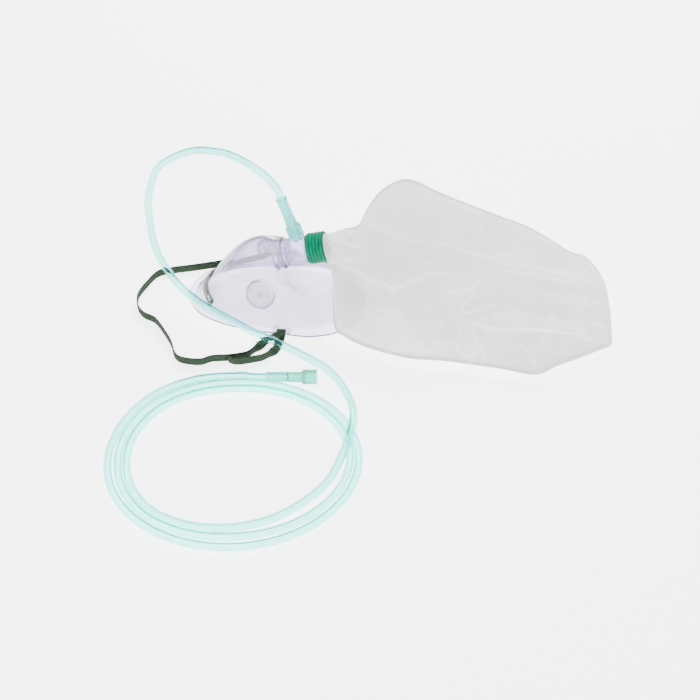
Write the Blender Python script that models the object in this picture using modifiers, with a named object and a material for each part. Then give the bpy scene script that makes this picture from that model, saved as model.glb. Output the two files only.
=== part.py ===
"""Non-rebreather oxygen face mask with reservoir bag and supply tube, laid on a table.

Metres, +Z up. The origin is under the middle of the mask, strap and bag, on the table.
The mask lies on its face flange, nose to -X and chin to +X. The port at the chin end
takes a tee with a side nipple, and a ribbed collar holds the bag on the tee. The tube
rises from the nipple, arcs over the nose, lies across the strap and ends in a loose coil.
"""

import math

import bmesh
import bpy
from mathutils import Matrix, Vector

GAP = 0.0003            # clearance between pieces that touch
GAUGE = 0.0013          # wall of the moulded mask

# Mask, in its own frame: x towards the chin, y to the far side, z up from the table
MASK_AT = (-0.0756, 0.0203)
MASK_TURN = -6.0
FLANGE_OUTLINE = (      # outer edge of the face flange, one half from chin to nose
    (0.0705, 0.0), (0.0665, 0.0215), (0.0525, 0.0395), (0.0300, 0.0475), (0.0040, 0.0465),
    (-0.0220, 0.0440), (-0.0462, 0.0380), (-0.0657, 0.0270), (-0.0762, 0.0098),
)
FLANGE_WIDTH = 0.0055
PORT_AT = (0.0042, 0.0494)   # x and height of the port's rim
PORT_RISE = 15.0        # the port's axis above the table, degrees
PORT_BORE = 0.0220
PORT_NECK = 0.0080
BEAD = 0.0012           # how far the rim's bead stands out
NOSE_LEAN = 48.0        # slope of the shell's wall at its foot, degrees
SIDE_LEAN = 74.0
CHIN_LEAN = 58.0
FULLNESS = 1.28         # how strongly the shell bulges between foot and port

# Exhalation valves, one on each side of the shell
VALVE_ROUND = 0.275     # place round the shell, as a share of a turn from the chin
VALVE_RISE = 0.42       # place between foot and port
VALVE_SEAT = 0.0250
SEAT_HEIGHT = 0.0012    # how far the seat stands out of the shell
VENT = 0.0036
VENT_RING = 0.0108      # diameter of the circle of vents
VENTS = 6
FLAP = 0.0205
FLAP_SHEET = 0.0007
STEM = 0.0022
BUTTON = 0.0052

# Strap ears and strap
EAR_AT = 0.0060
EAR_LENGTH = 0.0150
EAR_SHEET = 0.0016
EAR_LIFT = 0.0022
SLOT_LENGTH = 0.0080
SLOT_WIDTH = 0.0028
EAR_BAR = 0.0024
EAR_OVERHANG = 0.0018   # how far the ear stands out past the flange
STRAP_WIDTH = 0.0062
STRAP_SHEET = 0.0010

# Nose clip, a soft metal strip
CLIP_WIDTH = 0.0056
CLIP_SHEET = 0.0008
CLIP_REACH = 0.110      # how far it goes round each side, as a share of a turn
CLIP_RISE = 0.145       # place of its middle between foot and port
CLIP_DROP = 0.060       # how much lower its ends are
CLIP_SLOT = 0.0060
CLIP_SLOT_WIDTH = 0.0022
POST = 0.0013

# Tee, valve disc and collar, on the port's axis, measured outwards from the port's rim
SPIGOT_LENGTH = 0.0090
TEE_WALL = 0.0015
TEE_BODY = 0.0232
TEE_LENGTH = 0.0198
BAG_SPIGOT = 0.0200
BAG_SPIGOT_LENGTH = 0.0165
SEAT_AT = 0.0040        # place of the valve seat inside the tee
DISC = 0.0160
NIPPLE_AT = 0.0150
NIPPLE = 0.0062
NIPPLE_BORE = 0.0026
NIPPLE_LENGTH = 0.0100
NIPPLE_LEAN = 5.0
NIPPLE_ROLL = 6.0
COLLAR_WALL = 0.0014
COLLAR_GAP = 0.0008     # room between the tee's body and the collar
COLLAR_LENGTH = 0.0150
COLLAR_RIBS = 5
COLLAR_RIB = 0.0005     # how far each rib stands out

# Bag: points on its near edge and its far edge, and how far it is blown up between them
FILM = 0.0005
SEAM = 0.0030           # width of the welded edge beyond the air space
BAG_SHAPE = 0.35        # 0 for an oval section, more for a flatter edge
BAG_STATIONS = (
    ((-0.032, -0.014, 0.050), (-0.022, 0.030, 0.066), 0.0115),
    ((-0.031, -0.031, 0.014), (-0.011, 0.023, 0.076), 0.0120),
    ((-0.022, -0.041, 0.010), (-0.004, 0.034, 0.084), 0.0150),
    ((-0.007, -0.050, 0.008), (0.007, 0.052, 0.088), 0.0185),
    ((0.010, -0.058, 0.008), (0.021, 0.066, 0.088), 0.0215),
    ((0.031, -0.066, 0.009), (0.035, 0.072, 0.084), 0.0240),
    ((0.059, -0.069, 0.009), (0.063, 0.081, 0.062), 0.0225),
    ((0.102, -0.078, 0.009), (0.109, 0.074, 0.045), 0.0185),
    ((0.130, -0.084, 0.008), (0.132, 0.072, 0.036), 0.0150),
    ((0.147, -0.074, 0.008), (0.152, 0.068, 0.025), 0.0120),
    ((0.163, -0.066, 0.008), (0.169, 0.061, 0.017), 0.0095),
    ((0.181, -0.055, 0.007), (0.184, 0.060, 0.011), 0.0075),
    ((0.194, -0.046, 0.006), (0.196, 0.034, 0.008), 0.0050),
    ((0.196, -0.033, 0.005), (0.198, -0.003, 0.006), 0.0035),
)

# Supply tube, its two connectors and its coil
TUBE = 0.0065
LUMEN = 0.0042
BELL = 0.0134
BELL_LENGTH = 0.0095
SHOULDER = 0.0035
CUFF = 0.0090
CUFF_LENGTH = 0.0240
BELL_LIFT = 0.0020      # how far above the tee's body the connector stops
ROUTE = (               # the tube's middle from the mask to the coil, laid by hand
    (-0.0778, 0.0265, 0.1115), (-0.0880, 0.0340, 0.1188), (-0.1020, 0.0450, 0.1220),
    (-0.1180, 0.0595, 0.1200), (-0.1365, 0.0740, 0.1130), (-0.1500, 0.0855, 0.1040),
    (-0.1655, 0.0945, 0.0915), (-0.1805, 0.1005, 0.0755), (-0.1870, 0.0985, 0.0605),
    (-0.1900, 0.0895, 0.0470), (-0.1880, 0.0775, 0.0360), (-0.1845, 0.0620, 0.0275),
    (-0.1785, 0.0480, 0.0205), (-0.1695, 0.0335, 0.0155), (-0.1595, 0.0200, 0.0120),
    (-0.1455, 0.0055, 0.0100), (-0.1285, -0.0085, 0.0090), (-0.1125, -0.0210, 0.0090),
    (-0.0965, -0.0345, 0.0100), (-0.0820, -0.0450, 0.0110), (-0.0650, -0.0560, 0.0100),
    (-0.0495, -0.0640, 0.0065), (-0.0365, -0.0725, 0.0040), (-0.0260, -0.0890, 0.0045),
    (-0.0185, -0.1105, 0.0075), (-0.0155, -0.1290, 0.0105), (-0.0165, -0.1460, 0.0105),
    (-0.0205, -0.1630, 0.0103),
)
COIL_AT = (-0.1060, -0.1705)
COIL_START = 0.0770     # radius of the first, innermost turn
COIL_PITCH = 0.0070     # growth of the radius in each turn
COIL_TURNS = 2.79
COIL_SQUEEZE = 0.95     # depth of the coil as a share of its width
SUPPLY_AT = (-0.0845, -0.0893)
SUPPLY_TURN = -4.5
SUPPLY_CUFF = 0.0080
SUPPLY_CUFF_LENGTH = 0.0265
SUPPLY_BELL = 0.0122
SUPPLY_BELL_LENGTH = 0.0105
SOCKET = 0.0072
SOCKET_DEPTH = 0.0090

# Lie of the strap's middle on the table, from its near tail to its far tail
STRAP_TAIL = (
    (-0.1160, -0.0608, 0.0035), (-0.1120, -0.0630, 0.0035), (-0.1075, -0.0634, 0.0035),
    (-0.1027, -0.0626, 0.0035), (-0.0955, -0.0608, 0.0035), (-0.0883, -0.0584, 0.0034),
    (-0.0815, -0.0520, 0.0030), (-0.0770, -0.0430, 0.0018),
)
STRAP_RUN = (
    (-0.0800, -0.0342, 0.0046), (-0.0868, -0.0390, 0.0040), (-0.0943, -0.0476, 0.0037),
    (-0.1005, -0.0546, 0.0036), (-0.1077, -0.0572, 0.0035), (-0.1157, -0.0588, 0.0035),
    (-0.1294, -0.0600, 0.0035), (-0.1388, -0.0640, 0.0035), (-0.1527, -0.0620, 0.0035),
    (-0.1595, -0.0560, 0.0035), (-0.1635, -0.0421, 0.0035), (-0.1710, -0.0261, 0.0035),
    (-0.1790, -0.0130, 0.0035), (-0.1890, -0.0060, 0.0035), (-0.1945, 0.0040, 0.0035),
    (-0.1955, 0.0180, 0.0035), (-0.1895, 0.0330, 0.0035), (-0.1813, 0.0468, 0.0035),
    (-0.1697, 0.0515, 0.0035), (-0.1505, 0.0555, 0.0035), (-0.1309, 0.0602, 0.0035),
    (-0.1160, 0.0645, 0.0036), (-0.0980, 0.0703, 0.0039), (-0.0830, 0.0752, 0.0043),
    (-0.0705, 0.0765, 0.0046),
)
FAR_TAIL = ((-0.0605, 0.0755, 0.0014), (-0.0565, 0.0820, 0.0012))

ROUND = 36              # steps round a turned piece
ROUND_SMALL = 24
ROUND_COIL = 64
SHELL_ROUND = 52
SHELL_RISE = 9
STRAP_STEP = 0.0045
TWIST_START = 0.0060    # the strap lies flat this near to a slot
TWIST_END = 0.0200      # and stands on edge beyond this
BAG_ROWS = 20
BAG_ROUND = 26


def clear_scene():
    for thing in list(bpy.data.objects):
        bpy.data.objects.remove(thing, do_unlink=True)


def new_collection(name, hidden=False):
    collection = bpy.data.collections.new(name)
    bpy.context.scene.collection.children.link(collection)
    collection.hide_render = hidden
    return collection


def finish(name, colour, roughness, metallic=0.0, alpha=1.0):
    """A plain material in the piece's own colour."""
    material = bpy.data.materials.new(name)
    material.use_nodes = True
    shader = material.node_tree.nodes["Principled BSDF"]
    shader.inputs["Base Color"].default_value = (*colour, 1.0)
    shader.inputs["Roughness"].default_value = roughness
    shader.inputs["Metallic"].default_value = metallic
    shader.inputs["Alpha"].default_value = alpha
    return material


def add_object(name, data, material=None, frame=None, cutter=False):
    thing = bpy.data.objects.new(name, data)
    (CUTTERS if cutter else PARTS).objects.link(thing)
    if frame is not None:
        thing.parent = frame
    if material is not None:
        data.materials.append(material)
    if cutter:
        thing.hide_render = True
        thing.display_type = "WIRE"
    return thing


def loft(name, rings, looped=False):
    """A closed skin over closed rings that have the same number of points."""
    count = len(rings[0])
    if looped:
        rings = rings[:-1]
    faces = []
    for row in range(len(rings) if looped else len(rings) - 1):
        low, high = row * count, (row + 1) % len(rings) * count
        for step in range(count):
            after = (step + 1) % count
            faces.append((low + step, low + after, high + after, high + step))
    if not looped:
        last = (len(rings) - 1) * count
        faces.append(tuple(reversed(range(count))))
        faces.append(tuple(range(last, last + count)))
    mesh = bpy.data.meshes.new(name)
    mesh.from_pydata([tuple(point) for ring in rings for point in ring], [], faces)
    shape = bmesh.new()
    shape.from_mesh(mesh)
    bmesh.ops.recalc_face_normals(shape, faces=shape.faces)
    shape.to_mesh(mesh)
    shape.free()
    mesh.shade_smooth()
    mesh.set_sharp_from_angle(angle=math.radians(50))
    return mesh


def turned(name, profile, material=None, frame=None, closed=True, cutter=False, steps=ROUND):
    """A profile of (radius, height) points turned about its frame's Z axis."""
    mesh = bpy.data.meshes.new(name)
    count = len(profile)
    edges = [(step, step + 1) for step in range(count - 1)]
    if closed:
        edges.append((count - 1, 0))
    mesh.from_pydata([(radius, 0.0, height) for radius, height in profile], edges, [])
    thing = add_object(name, mesh, material, frame, cutter)
    screw = thing.modifiers.new("Turn", "SCREW")
    screw.steps = steps
    screw.render_steps = steps
    screw.use_merge_vertices = True
    screw.merge_threshold = 0.00001
    mesh.shade_smooth()
    mesh.set_sharp_from_angle(angle=math.radians(35))
    return thing


def rounded(corners, steps=2):
    """A profile with its corners eased: each corner is (radius, height, size of the curve)."""
    profile = []
    count = len(corners)
    for number, (radius, height, size) in enumerate(corners):
        corner = Vector((radius, height))
        if not size:
            profile.append(tuple(corner))
            continue
        before = Vector(corners[number - 1][:2]) - corner
        after = Vector(corners[(number + 1) % count][:2]) - corner
        start, end = corner + size * before.normalized(), corner + size * after.normalized()
        for step in range(steps + 1):
            share = step / steps
            left, right = start.lerp(corner, share), corner.lerp(end, share)
            profile.append(tuple(left.lerp(right, share)))
    return profile


def rod(name, radius, start, end, frame, steps=ROUND_SMALL // 2):
    """A plain round cutter or post from one height to another on its frame's Z axis."""
    profile = ((0.0, end), (radius, end), (radius, start), (0.0, start))
    return turned(name, profile, None, frame, closed=False, cutter=True, steps=steps)


def block(name, size, middle, frame):
    shape = bmesh.new()
    bmesh.ops.create_cube(shape, size=1.0)
    bmesh.ops.scale(shape, vec=size, verts=shape.verts)
    bmesh.ops.translate(shape, vec=middle, verts=shape.verts)
    mesh = bpy.data.meshes.new(name)
    shape.to_mesh(mesh)
    shape.free()
    return add_object(name, mesh, None, frame, cutter=True)


def boolean(thing, other, operation):
    step = thing.modifiers.new(other.name, "BOOLEAN")
    step.operation = operation
    step.solver = "EXACT"
    step.object = other


def cut(thing, cutter):
    boolean(thing, cutter, "DIFFERENCE")


def join(thing, other):
    boolean(thing, other, "UNION")


def frame_at(name, matrix, parent=None):
    empty = bpy.data.objects.new(name, None)
    PARTS.objects.link(empty)
    empty.parent = parent
    empty.matrix_basis = matrix
    return empty


def facing(origin, axis, side):
    """A matrix at origin with Z along axis and X as near to side as it can be."""
    z = Vector(axis).normalized()
    x = Vector(side)
    x = (x - x.dot(z) * z).normalized()
    y = z.cross(x)
    return Matrix.Translation(Vector(origin)) @ Matrix((x, y, z)).transposed().to_4x4()


def smooth_point(points, place, closed=False):
    """A point on the smooth curve through the points, place counted in points."""
    count = len(points)
    span = math.floor(place)
    share = place - span
    if not closed and span >= count - 1:
        span, share = count - 2, 1.0

    def pick(number):
        if closed:
            return Vector(points[number % count])
        if number < 0:
            return 2 * Vector(points[0]) - Vector(points[1])
        if number >= count:
            return 2 * Vector(points[-1]) - Vector(points[-2])
        return Vector(points[number])

    before, start, end, after = (pick(span + step) for step in (-1, 0, 1, 2))
    return 0.5 * (
        2 * start
        + (end - before) * share
        + (2 * before - 5 * start + 4 * end - after) * share**2
        + (3 * start - before - 3 * end + after) * share**3
    )


def even_points(points, spacing):
    """Points at an even spacing along the smooth curve through the given points."""
    fine = 24
    walk = [smooth_point(points, step / fine) for step in range((len(points) - 1) * fine + 1)]
    lengths = [0.0]
    for first, second in zip(walk, walk[1:]):
        lengths.append(lengths[-1] + (second - first).length)
    count = max(2, round(lengths[-1] / spacing))
    even, spot = [], 0
    for step in range(count + 1):
        want = lengths[-1] * step / count
        while spot < len(walk) - 2 and lengths[spot + 1] < want:
            spot += 1
        share = (want - lengths[spot]) / (lengths[spot + 1] - lengths[spot])
        even.append(walk[spot].lerp(walk[spot + 1], min(1.0, share)))
    return even


# The shell's surface, as a function of the place round it and the height up it

HALF = [Vector((x, y, 0.0)) for x, y in FLANGE_OUTLINE]
WHOLE_OUTLINE = HALF + [Vector((point.x, -point.y, 0.0)) for point in reversed(HALF[1:])]
PORT_TILT = math.radians(PORT_RISE)
PORT_AXIS = Vector((math.cos(PORT_TILT), 0.0, math.sin(PORT_TILT)))
PORT_UP = Vector((-math.sin(PORT_TILT), 0.0, math.cos(PORT_TILT)))
PORT_RIM = Vector((PORT_AT[0], 0.0, PORT_AT[1]))
FOOT = 0.0010


def outline_point(around, inset):
    """A point on the flange, around as a share of a turn from the chin."""
    place = around * len(WHOLE_OUTLINE)
    point = smooth_point(WHOLE_OUTLINE, place, closed=True)
    step = 0.05
    along = smooth_point(WHOLE_OUTLINE, place + step, closed=True)
    along -= smooth_point(WHOLE_OUTLINE, place - step, closed=True)
    inward = Vector((-along.y, along.x, 0.0)).normalized()
    return point + inset * inward


def port_point(around, radius, out):
    """A point on a circle about the port's axis, out beyond the rim."""
    turn = math.tau * around
    spoke = -math.cos(turn) * PORT_UP + Vector((0.0, math.sin(turn), 0.0))
    return PORT_RIM + out * PORT_AXIS + radius * spoke


def shell_point(around, rise, grow=0.0):
    """A point on the shell's inner face between foot and port, or grow outside it."""
    turn = math.tau * around
    foot = outline_point(around, FLANGE_WIDTH + FOOT) + Vector((0.0, 0.0, FOOT))
    top = port_point(around, PORT_BORE / 2, -PORT_NECK)
    nose, chin = max(0.0, -math.cos(turn)), max(0.0, math.cos(turn))
    side = 1.0 - max(nose, chin)
    lean = math.radians(NOSE_LEAN * nose + CHIN_LEAN * chin + SIDE_LEAN * side)
    inward = (outline_point(around, FLANGE_WIDTH) - outline_point(around, 0.0)).normalized()
    leave = math.cos(lean) * inward + Vector((0.0, 0.0, math.sin(lean)))
    centre = port_point(around, 0.0, -PORT_NECK)
    to_centre = (centre - top).normalized()
    along = 0.20 - 0.65 * math.cos(turn) * (1.0 if nose else 0.75)
    arrive = (along * PORT_AXIS + (1.0 - abs(along)) * to_centre).normalized()
    reach = FULLNESS * (top - foot).length
    square, cube = rise * rise, rise**3
    point = (2 * cube - 3 * square + 1) * foot + (cube - 2 * square + rise) * reach * leave
    point += (3 * square - 2 * cube) * top + (cube - square) * reach * arrive
    if grow:
        point += grow * shell_normal(around, rise)
    return point


def shell_normal(around, rise):
    step = 0.004
    across = shell_point(around + step, rise) - shell_point(around - step, rise)
    low, high = max(0.0, rise - step), min(1.0, rise + step)
    up = shell_point(around, high) - shell_point(around, low)
    return across.cross(up).normalized()


def shell_mesh():
    """Flange, dome, port neck and rim bead: along the inner face and back along the outer."""
    share = [step / SHELL_ROUND for step in range(SHELL_ROUND)]
    ease = GAUGE / 4
    rises = [row / SHELL_RISE for row in range(SHELL_RISE + 1)]
    inner, outer = PORT_BORE / 2, PORT_BORE / 2 + GAUGE
    rings = [[outline_point(around, inset) + Vector((0.0, 0.0, height)) for around in share]
             for inset, height in ((0.0, ease), (ease, 0.0), (FLANGE_WIDTH, 0.0))]
    rings += [[shell_point(around, rise) for around in share] for rise in rises]
    neck = (
        (inner, -0.6 * PORT_NECK), (inner, -ease), (inner + ease, 0.0), (outer + 0.5 * BEAD, 0.0),
        (outer + BEAD, -0.5 * BEAD), (outer + BEAD, -1.5 * BEAD), (outer, -2.2 * BEAD),
        (outer, -0.6 * PORT_NECK),
    )
    rings += [[port_point(around, radius, out) for around in share] for radius, out in neck]
    root = []
    for around in share:
        lift = GAUGE * max(0.0, shell_normal(around, 1.0).dot(PORT_AXIS))
        root.append(port_point(around, outer, lift - PORT_NECK))
    rings.append(root)
    rings += [[shell_point(around, rise, GAUGE) for around in share] for rise in reversed(rises[:-1])]
    rings += [[outline_point(around, inset) + Vector((0.0, 0.0, height)) for around in share]
              for inset, height in ((FLANGE_WIDTH - FOOT, GAUGE), (ease, GAUGE), (0.0, GAUGE - ease))]
    rings.append(rings[0])
    return loft("mask_shell", rings, looped=True)


def valve_place(side):
    """Where a valve sits: the middle of its seat's face, in the mask's frame."""
    around = side * VALVE_ROUND
    point = shell_point(around, VALVE_RISE, GAUGE + SEAT_HEIGHT)
    return facing(point, shell_normal(around, VALVE_RISE), (1.0, 0.0, 0.0))


def valve_seat(shell, side, frame):
    """A flat round seat let into the shell, with a ring of vents and a hole for the stem."""
    radius = VALVE_SEAT / 2
    deep = 2.6 * SEAT_HEIGHT + GAUGE
    window = rod(f"seat_window_{side}", radius - GAUGE / 2, -4 * deep, 4 * deep, frame, ROUND)
    cut(shell, window)
    hole = STEM / 2 + GAP
    profile = (
        (hole, 0.0), (radius, 0.0), (radius, -deep), (radius - GAUGE, -deep),
        (radius - GAUGE, -GAUGE), (hole, -GAUGE),
    )
    seat = turned(f"seat_{side}", profile, None, frame, cutter=True)
    for number in range(VENTS):
        turn = math.tau * (number + 0.13) / VENTS
        spot = Matrix.Translation((VENT_RING / 2 * math.cos(turn), VENT_RING / 2 * math.sin(turn), 0.0))
        vent_frame = frame_at(f"vent_{side}_{number}", spot, frame)
        cut(seat, rod(f"vent_cut_{side}_{number}", VENT / 2, -deep, deep, vent_frame))
    join(shell, seat)


def flap(name, width, material, frame):
    """A thin disc with a stem through its seat and a button behind it."""
    radius, stem, cap = width / 2, STEM / 2, BUTTON / 6
    face, back = GAP, -GAUGE - GAP
    button = stem + cap
    profile = (
        (0.0, face + FLAP_SHEET + cap), (BUTTON / 2 - cap / 2, face + FLAP_SHEET + cap),
        (BUTTON / 2, face + FLAP_SHEET), (radius, face + FLAP_SHEET), (radius, face),
        (stem, face), (stem, back), (button, back), (button, back - cap), (0.0, back - cap),
    )
    return turned(name, profile, material, frame, closed=False, steps=ROUND_SMALL)


def ear(shell, side, frame):
    """A slotted ear beside the flange, with the flange notched so that the strap goes under."""
    edge = min((outline_point(step / 400, 0.0) for step in range(201)),
               key=lambda point: abs(point.x - EAR_AT)).y
    outer = edge + EAR_OVERHANG
    slot_outer = outer - EAR_BAR
    slot_inner = slot_outer - SLOT_WIDTH
    inner = slot_inner - 1.3 * EAR_BAR
    height = EAR_LIFT + EAR_SHEET / 2
    notch_inner = slot_inner - 2 * GAP
    notch = block(f"ear_notch_{side}",
                  (SLOT_LENGTH + EAR_SHEET, 2 * (outer - notch_inner), 2 * EAR_LIFT - GAP),
                  (EAR_AT, side * outer, 0.0), frame)
    cut(shell, notch)
    plate = block(f"ear_{side}", (EAR_LENGTH, outer - inner, EAR_SHEET),
                  (EAR_AT, side * (outer + inner) / 2, height), frame)
    bevel = plate.modifiers.new("Round", "BEVEL")
    bevel.width = 0.0005
    bevel.segments = 2
    join(shell, plate)
    slot = block(f"ear_slot_{side}", (SLOT_LENGTH, SLOT_WIDTH, 6 * EAR_SHEET),
                 (EAR_AT, side * (slot_outer + slot_inner) / 2, height), frame)
    cut(shell, slot)


def oblong(name, length, width, height, frame):
    """A cutter with round ends, along its frame's X axis."""
    rings = []
    for level in (-height / 2, height / 2):
        ring = []
        for step in range(16):
            turn = math.tau * (step + 0.5) / 16
            shift = math.copysign((length - width) / 2, math.cos(turn))
            ring.append((shift + width / 2 * math.cos(turn), width / 2 * math.sin(turn), level))
        rings.append(ring)
    return add_object(name, loft(name, rings), None, frame, cutter=True)


def band_ring(middle, across, outward, width, sheet):
    """The section of a flat band with eased edges."""
    ease = sheet / 4
    half_width, half_sheet = width / 2, sheet / 2
    corners = (
        (half_width - ease, half_sheet), (-half_width + ease, half_sheet),
        (-half_width, half_sheet - ease), (-half_width, ease - half_sheet),
        (-half_width + ease, -half_sheet), (half_width - ease, -half_sheet),
        (half_width, ease - half_sheet), (half_width, half_sheet - ease),
    )
    return [middle + wide * across + thick * outward for wide, thick in corners]


def clip_place(along, lift):
    """A point of the nose clip's middle line, along from -1 to 1, and the shell's normal there."""
    around = 0.5 + CLIP_REACH * along
    rise = CLIP_RISE - CLIP_DROP * along * along
    return shell_point(around, rise, lift), shell_normal(around, rise)


def make_clip(shell, material, frame):
    lift = GAUGE + GAP + CLIP_SHEET / 2
    stations = 22
    rings = []
    for row in range(stations + 1):
        along = 2 * row / stations - 1
        middle, outward = clip_place(along, lift)
        forward = clip_place(along + 0.02, lift)[0] - clip_place(along - 0.02, lift)[0]
        across = outward.cross(forward).normalized()
        narrow = 0.8 if row in (0, stations) else 1.0
        rings.append(band_ring(middle, across, outward, narrow * CLIP_WIDTH, CLIP_SHEET))
    clip = add_object("nose_clip", loft("nose_clip", rings), material, frame)
    for side, name in ((-1, "far"), (1, "near")):
        middle, outward = clip_place(0.80 * side, GAUGE)
        forward = clip_place(0.84 * side, GAUGE)[0] - middle
        spot = frame_at(f"clip_post_{name}", facing(middle, outward, forward), frame)
        cut(clip, oblong(f"clip_slot_{name}", CLIP_SLOT, CLIP_SLOT_WIDTH, 5 * CLIP_SHEET, spot))
        post = rod(f"post_{name}", POST / 2, -GAUGE / 2, 2 * GAP + 1.5 * CLIP_SHEET, spot)
        join(shell, post)
    return clip


def make_mask(frame, clear, silicone, metal):
    shell = add_object("mask_shell", shell_mesh(), clear, frame)
    shell.modifiers.new("Flat", "TRIANGULATE")
    for side, name in ((-1, "near"), (1, "far")):
        valve_frame = frame_at(f"valve_{name}", valve_place(side), frame)
        valve_seat(shell, side, valve_frame)
        flap(f"exhalation_flap_{name}", FLAP, silicone, valve_frame)
        ear(shell, side, frame)
    make_clip(shell, metal, frame)


def strap_turn(side):
    """The strap's half turn round an ear's bar, from under it to over it, in the mask's frame."""
    edge = min((outline_point(step / 400, 0.0) for step in range(201)),
               key=lambda point: abs(point.x - EAR_AT)).y
    bar = edge + EAR_OVERHANG - EAR_BAR
    height = EAR_LIFT + EAR_SHEET / 2
    radius = EAR_SHEET / 2 + GAP + STRAP_SHEET / 2
    turn_points = [(EAR_AT, side * (bar + 3 * radius), height - radius)]
    for step in range(9):
        turn = math.pi * (step / 8 - 0.5)
        turn_points.append((EAR_AT, side * (bar - radius * math.cos(turn)),
                            height + radius * math.sin(turn)))
    turn_points.append((EAR_AT, side * (bar + 3 * radius), height + radius))
    return [MASK_MATRIX @ Vector(point) for point in turn_points]


def make_strap(material):
    """A flat elastic band: through the near slot, round in front of the nose, through the far one."""
    near, far = strap_turn(-1), strap_turn(1)
    line = even_points([*STRAP_TAIL, near[0]], STRAP_STEP)[:-1]
    line += near[:-1]
    line += even_points([near[-1], *STRAP_RUN, far[-1]], STRAP_STEP)[:-1]
    line += list(reversed(far))[:-1]
    line += even_points([far[0], *FAR_TAIL], STRAP_STEP)
    slots = (near[5], far[5])
    sideways = MASK_MATRIX.to_3x3() @ Vector((1.0, 0.0, 0.0))
    rings = []
    for number, middle in enumerate(line):
        before, after = line[max(0, number - 1)], line[min(len(line) - 1, number + 1)]
        forward = (after - before).normalized()
        nearest = min((middle - slot).length for slot in slots)
        flat = min(1.0, max(0.0, (TWIST_END - nearest) / (TWIST_END - TWIST_START)))
        flat = flat * flat * (3 - 2 * flat)
        lying = sideways if (middle - slots[0]).length < (middle - slots[1]).length else -sideways
        across = flat * lying + (1 - flat) * Vector((0.0, 0.0, 1.0))
        across = (across - across.dot(forward) * forward).normalized()
        outward = forward.cross(across)
        reach = (abs(across.z) * STRAP_WIDTH + abs(outward.z) * STRAP_SHEET) / 2
        middle.z = max(middle.z, reach + GAP)
        rings.append(band_ring(middle, across, outward, STRAP_WIDTH, STRAP_SHEET))
    return add_object("head_strap", loft("head_strap", rings), material)


def make_tee(frame, clear, silicone):
    """A straight tee: spigot into the mask, seat across the bore, spigot into the bag, nipple."""
    spigot = PORT_BORE / 2 - GAP
    bore = spigot - TEE_WALL
    body, bag = TEE_BODY / 2, BAG_SPIGOT / 2
    end = TEE_LENGTH + BAG_SPIGOT_LENGTH
    ease = TEE_WALL / 4
    profile = rounded((
        (0.0, SEAT_AT, 0), (bore, SEAT_AT, 0), (bore, TEE_LENGTH - TEE_WALL, 0),
        (bag - TEE_WALL, TEE_LENGTH, 0), (bag - TEE_WALL, end, ease), (bag, end, ease),
        (bag, TEE_LENGTH, 0), (body, TEE_LENGTH, ease), (body, GAP, ease), (spigot, GAP, 0),
        (spigot, -SPIGOT_LENGTH, ease), (bore, -SPIGOT_LENGTH, ease), (bore, SEAT_AT - GAUGE, 0),
        (0.0, SEAT_AT - GAUGE, 0),
    ))
    hole = STEM / 2 + GAP
    profile = [(max(radius, hole), height) for radius, height in profile]
    tee = turned("tee_connector", profile, clear, frame)
    for number in range(VENTS):
        turn = math.tau * (number + 0.13) / VENTS
        spot = Matrix.Translation((VENT_RING / 2 * math.cos(turn), VENT_RING / 2 * math.sin(turn), SEAT_AT))
        vent_frame = frame_at(f"tee_vent_{number}", spot, frame)
        cut(tee, rod(f"tee_vent_cut_{number}", VENT / 2, -2 * GAUGE, GAUGE, vent_frame))
    disc_turn = Matrix.Translation((0.0, 0.0, SEAT_AT - GAUGE)) @ Matrix.Rotation(math.pi, 4, "X")
    flap("check_valve_disc", DISC, silicone, frame_at("disc_frame", disc_turn, frame))

    lean, roll = math.radians(NIPPLE_LEAN), math.radians(NIPPLE_ROLL)
    axis = (math.cos(lean) * math.cos(roll), -math.cos(lean) * math.sin(roll), -math.sin(lean))
    nipple_frame = frame_at("nipple_frame", facing((0.0, 0.0, NIPPLE_AT), axis, (0.0, 0.0, 1.0)), frame)
    top = body + NIPPLE_LENGTH
    inside = (bore + body) / 2
    nipple = turned("nipple", rounded((
        (0.0, top, 0), (NIPPLE / 2, top, 2 * ease), (NIPPLE / 2, inside, 0), (0.0, inside, 0),
    )), None, nipple_frame, closed=False, cutter=True, steps=ROUND_SMALL)
    join(tee, nipple)
    cut(tee, rod("nipple_bore", NIPPLE_BORE / 2, bore / 2, 1.5 * top, nipple_frame))
    return nipple_frame


def make_collar(frame, material):
    """A ring with ribs running round it that clamps the bag's neck."""
    inner = BAG_SPIGOT / 2 + FILM + 2 * GAP
    outer = inner + COLLAR_WALL
    ease = COLLAR_WALL / 4
    start = TEE_LENGTH + COLLAR_GAP
    end = start + COLLAR_LENGTH
    corners = [(inner, end, ease), (outer, end, ease)]
    pitch = COLLAR_LENGTH / COLLAR_RIBS
    for number in range(COLLAR_RIBS):
        middle = end - pitch * (number + 0.5)
        for shift, rise in ((0.34, 0.0), (0.16, COLLAR_RIB), (-0.16, COLLAR_RIB), (-0.34, 0.0)):
            corners.append((outer + rise, middle + shift * pitch, 0))
    corners += [(outer, start, ease), (inner, start, ease)]
    return turned("bag_collar", rounded(corners), material, frame)


def bag_ring(station, margin, film, steps):
    """A section of the bag, margin inside its edges and film inside its faces."""
    near, far, half = Vector(station[0]), Vector(station[1]), station[2] - film
    middle = (near + far) / 2
    reach = (far - near) / 2
    across = reach.normalized()
    upward = BAG_ALONG.cross(across).normalized()
    ring = []
    for step in range(steps):
        turn = math.tau * step / steps
        bulge = math.sin(turn) * abs(math.sin(turn)) ** BAG_SHAPE
        ring.append(middle + (reach.length - margin) * math.cos(turn) * across + half * bulge * upward)
    return ring


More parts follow.
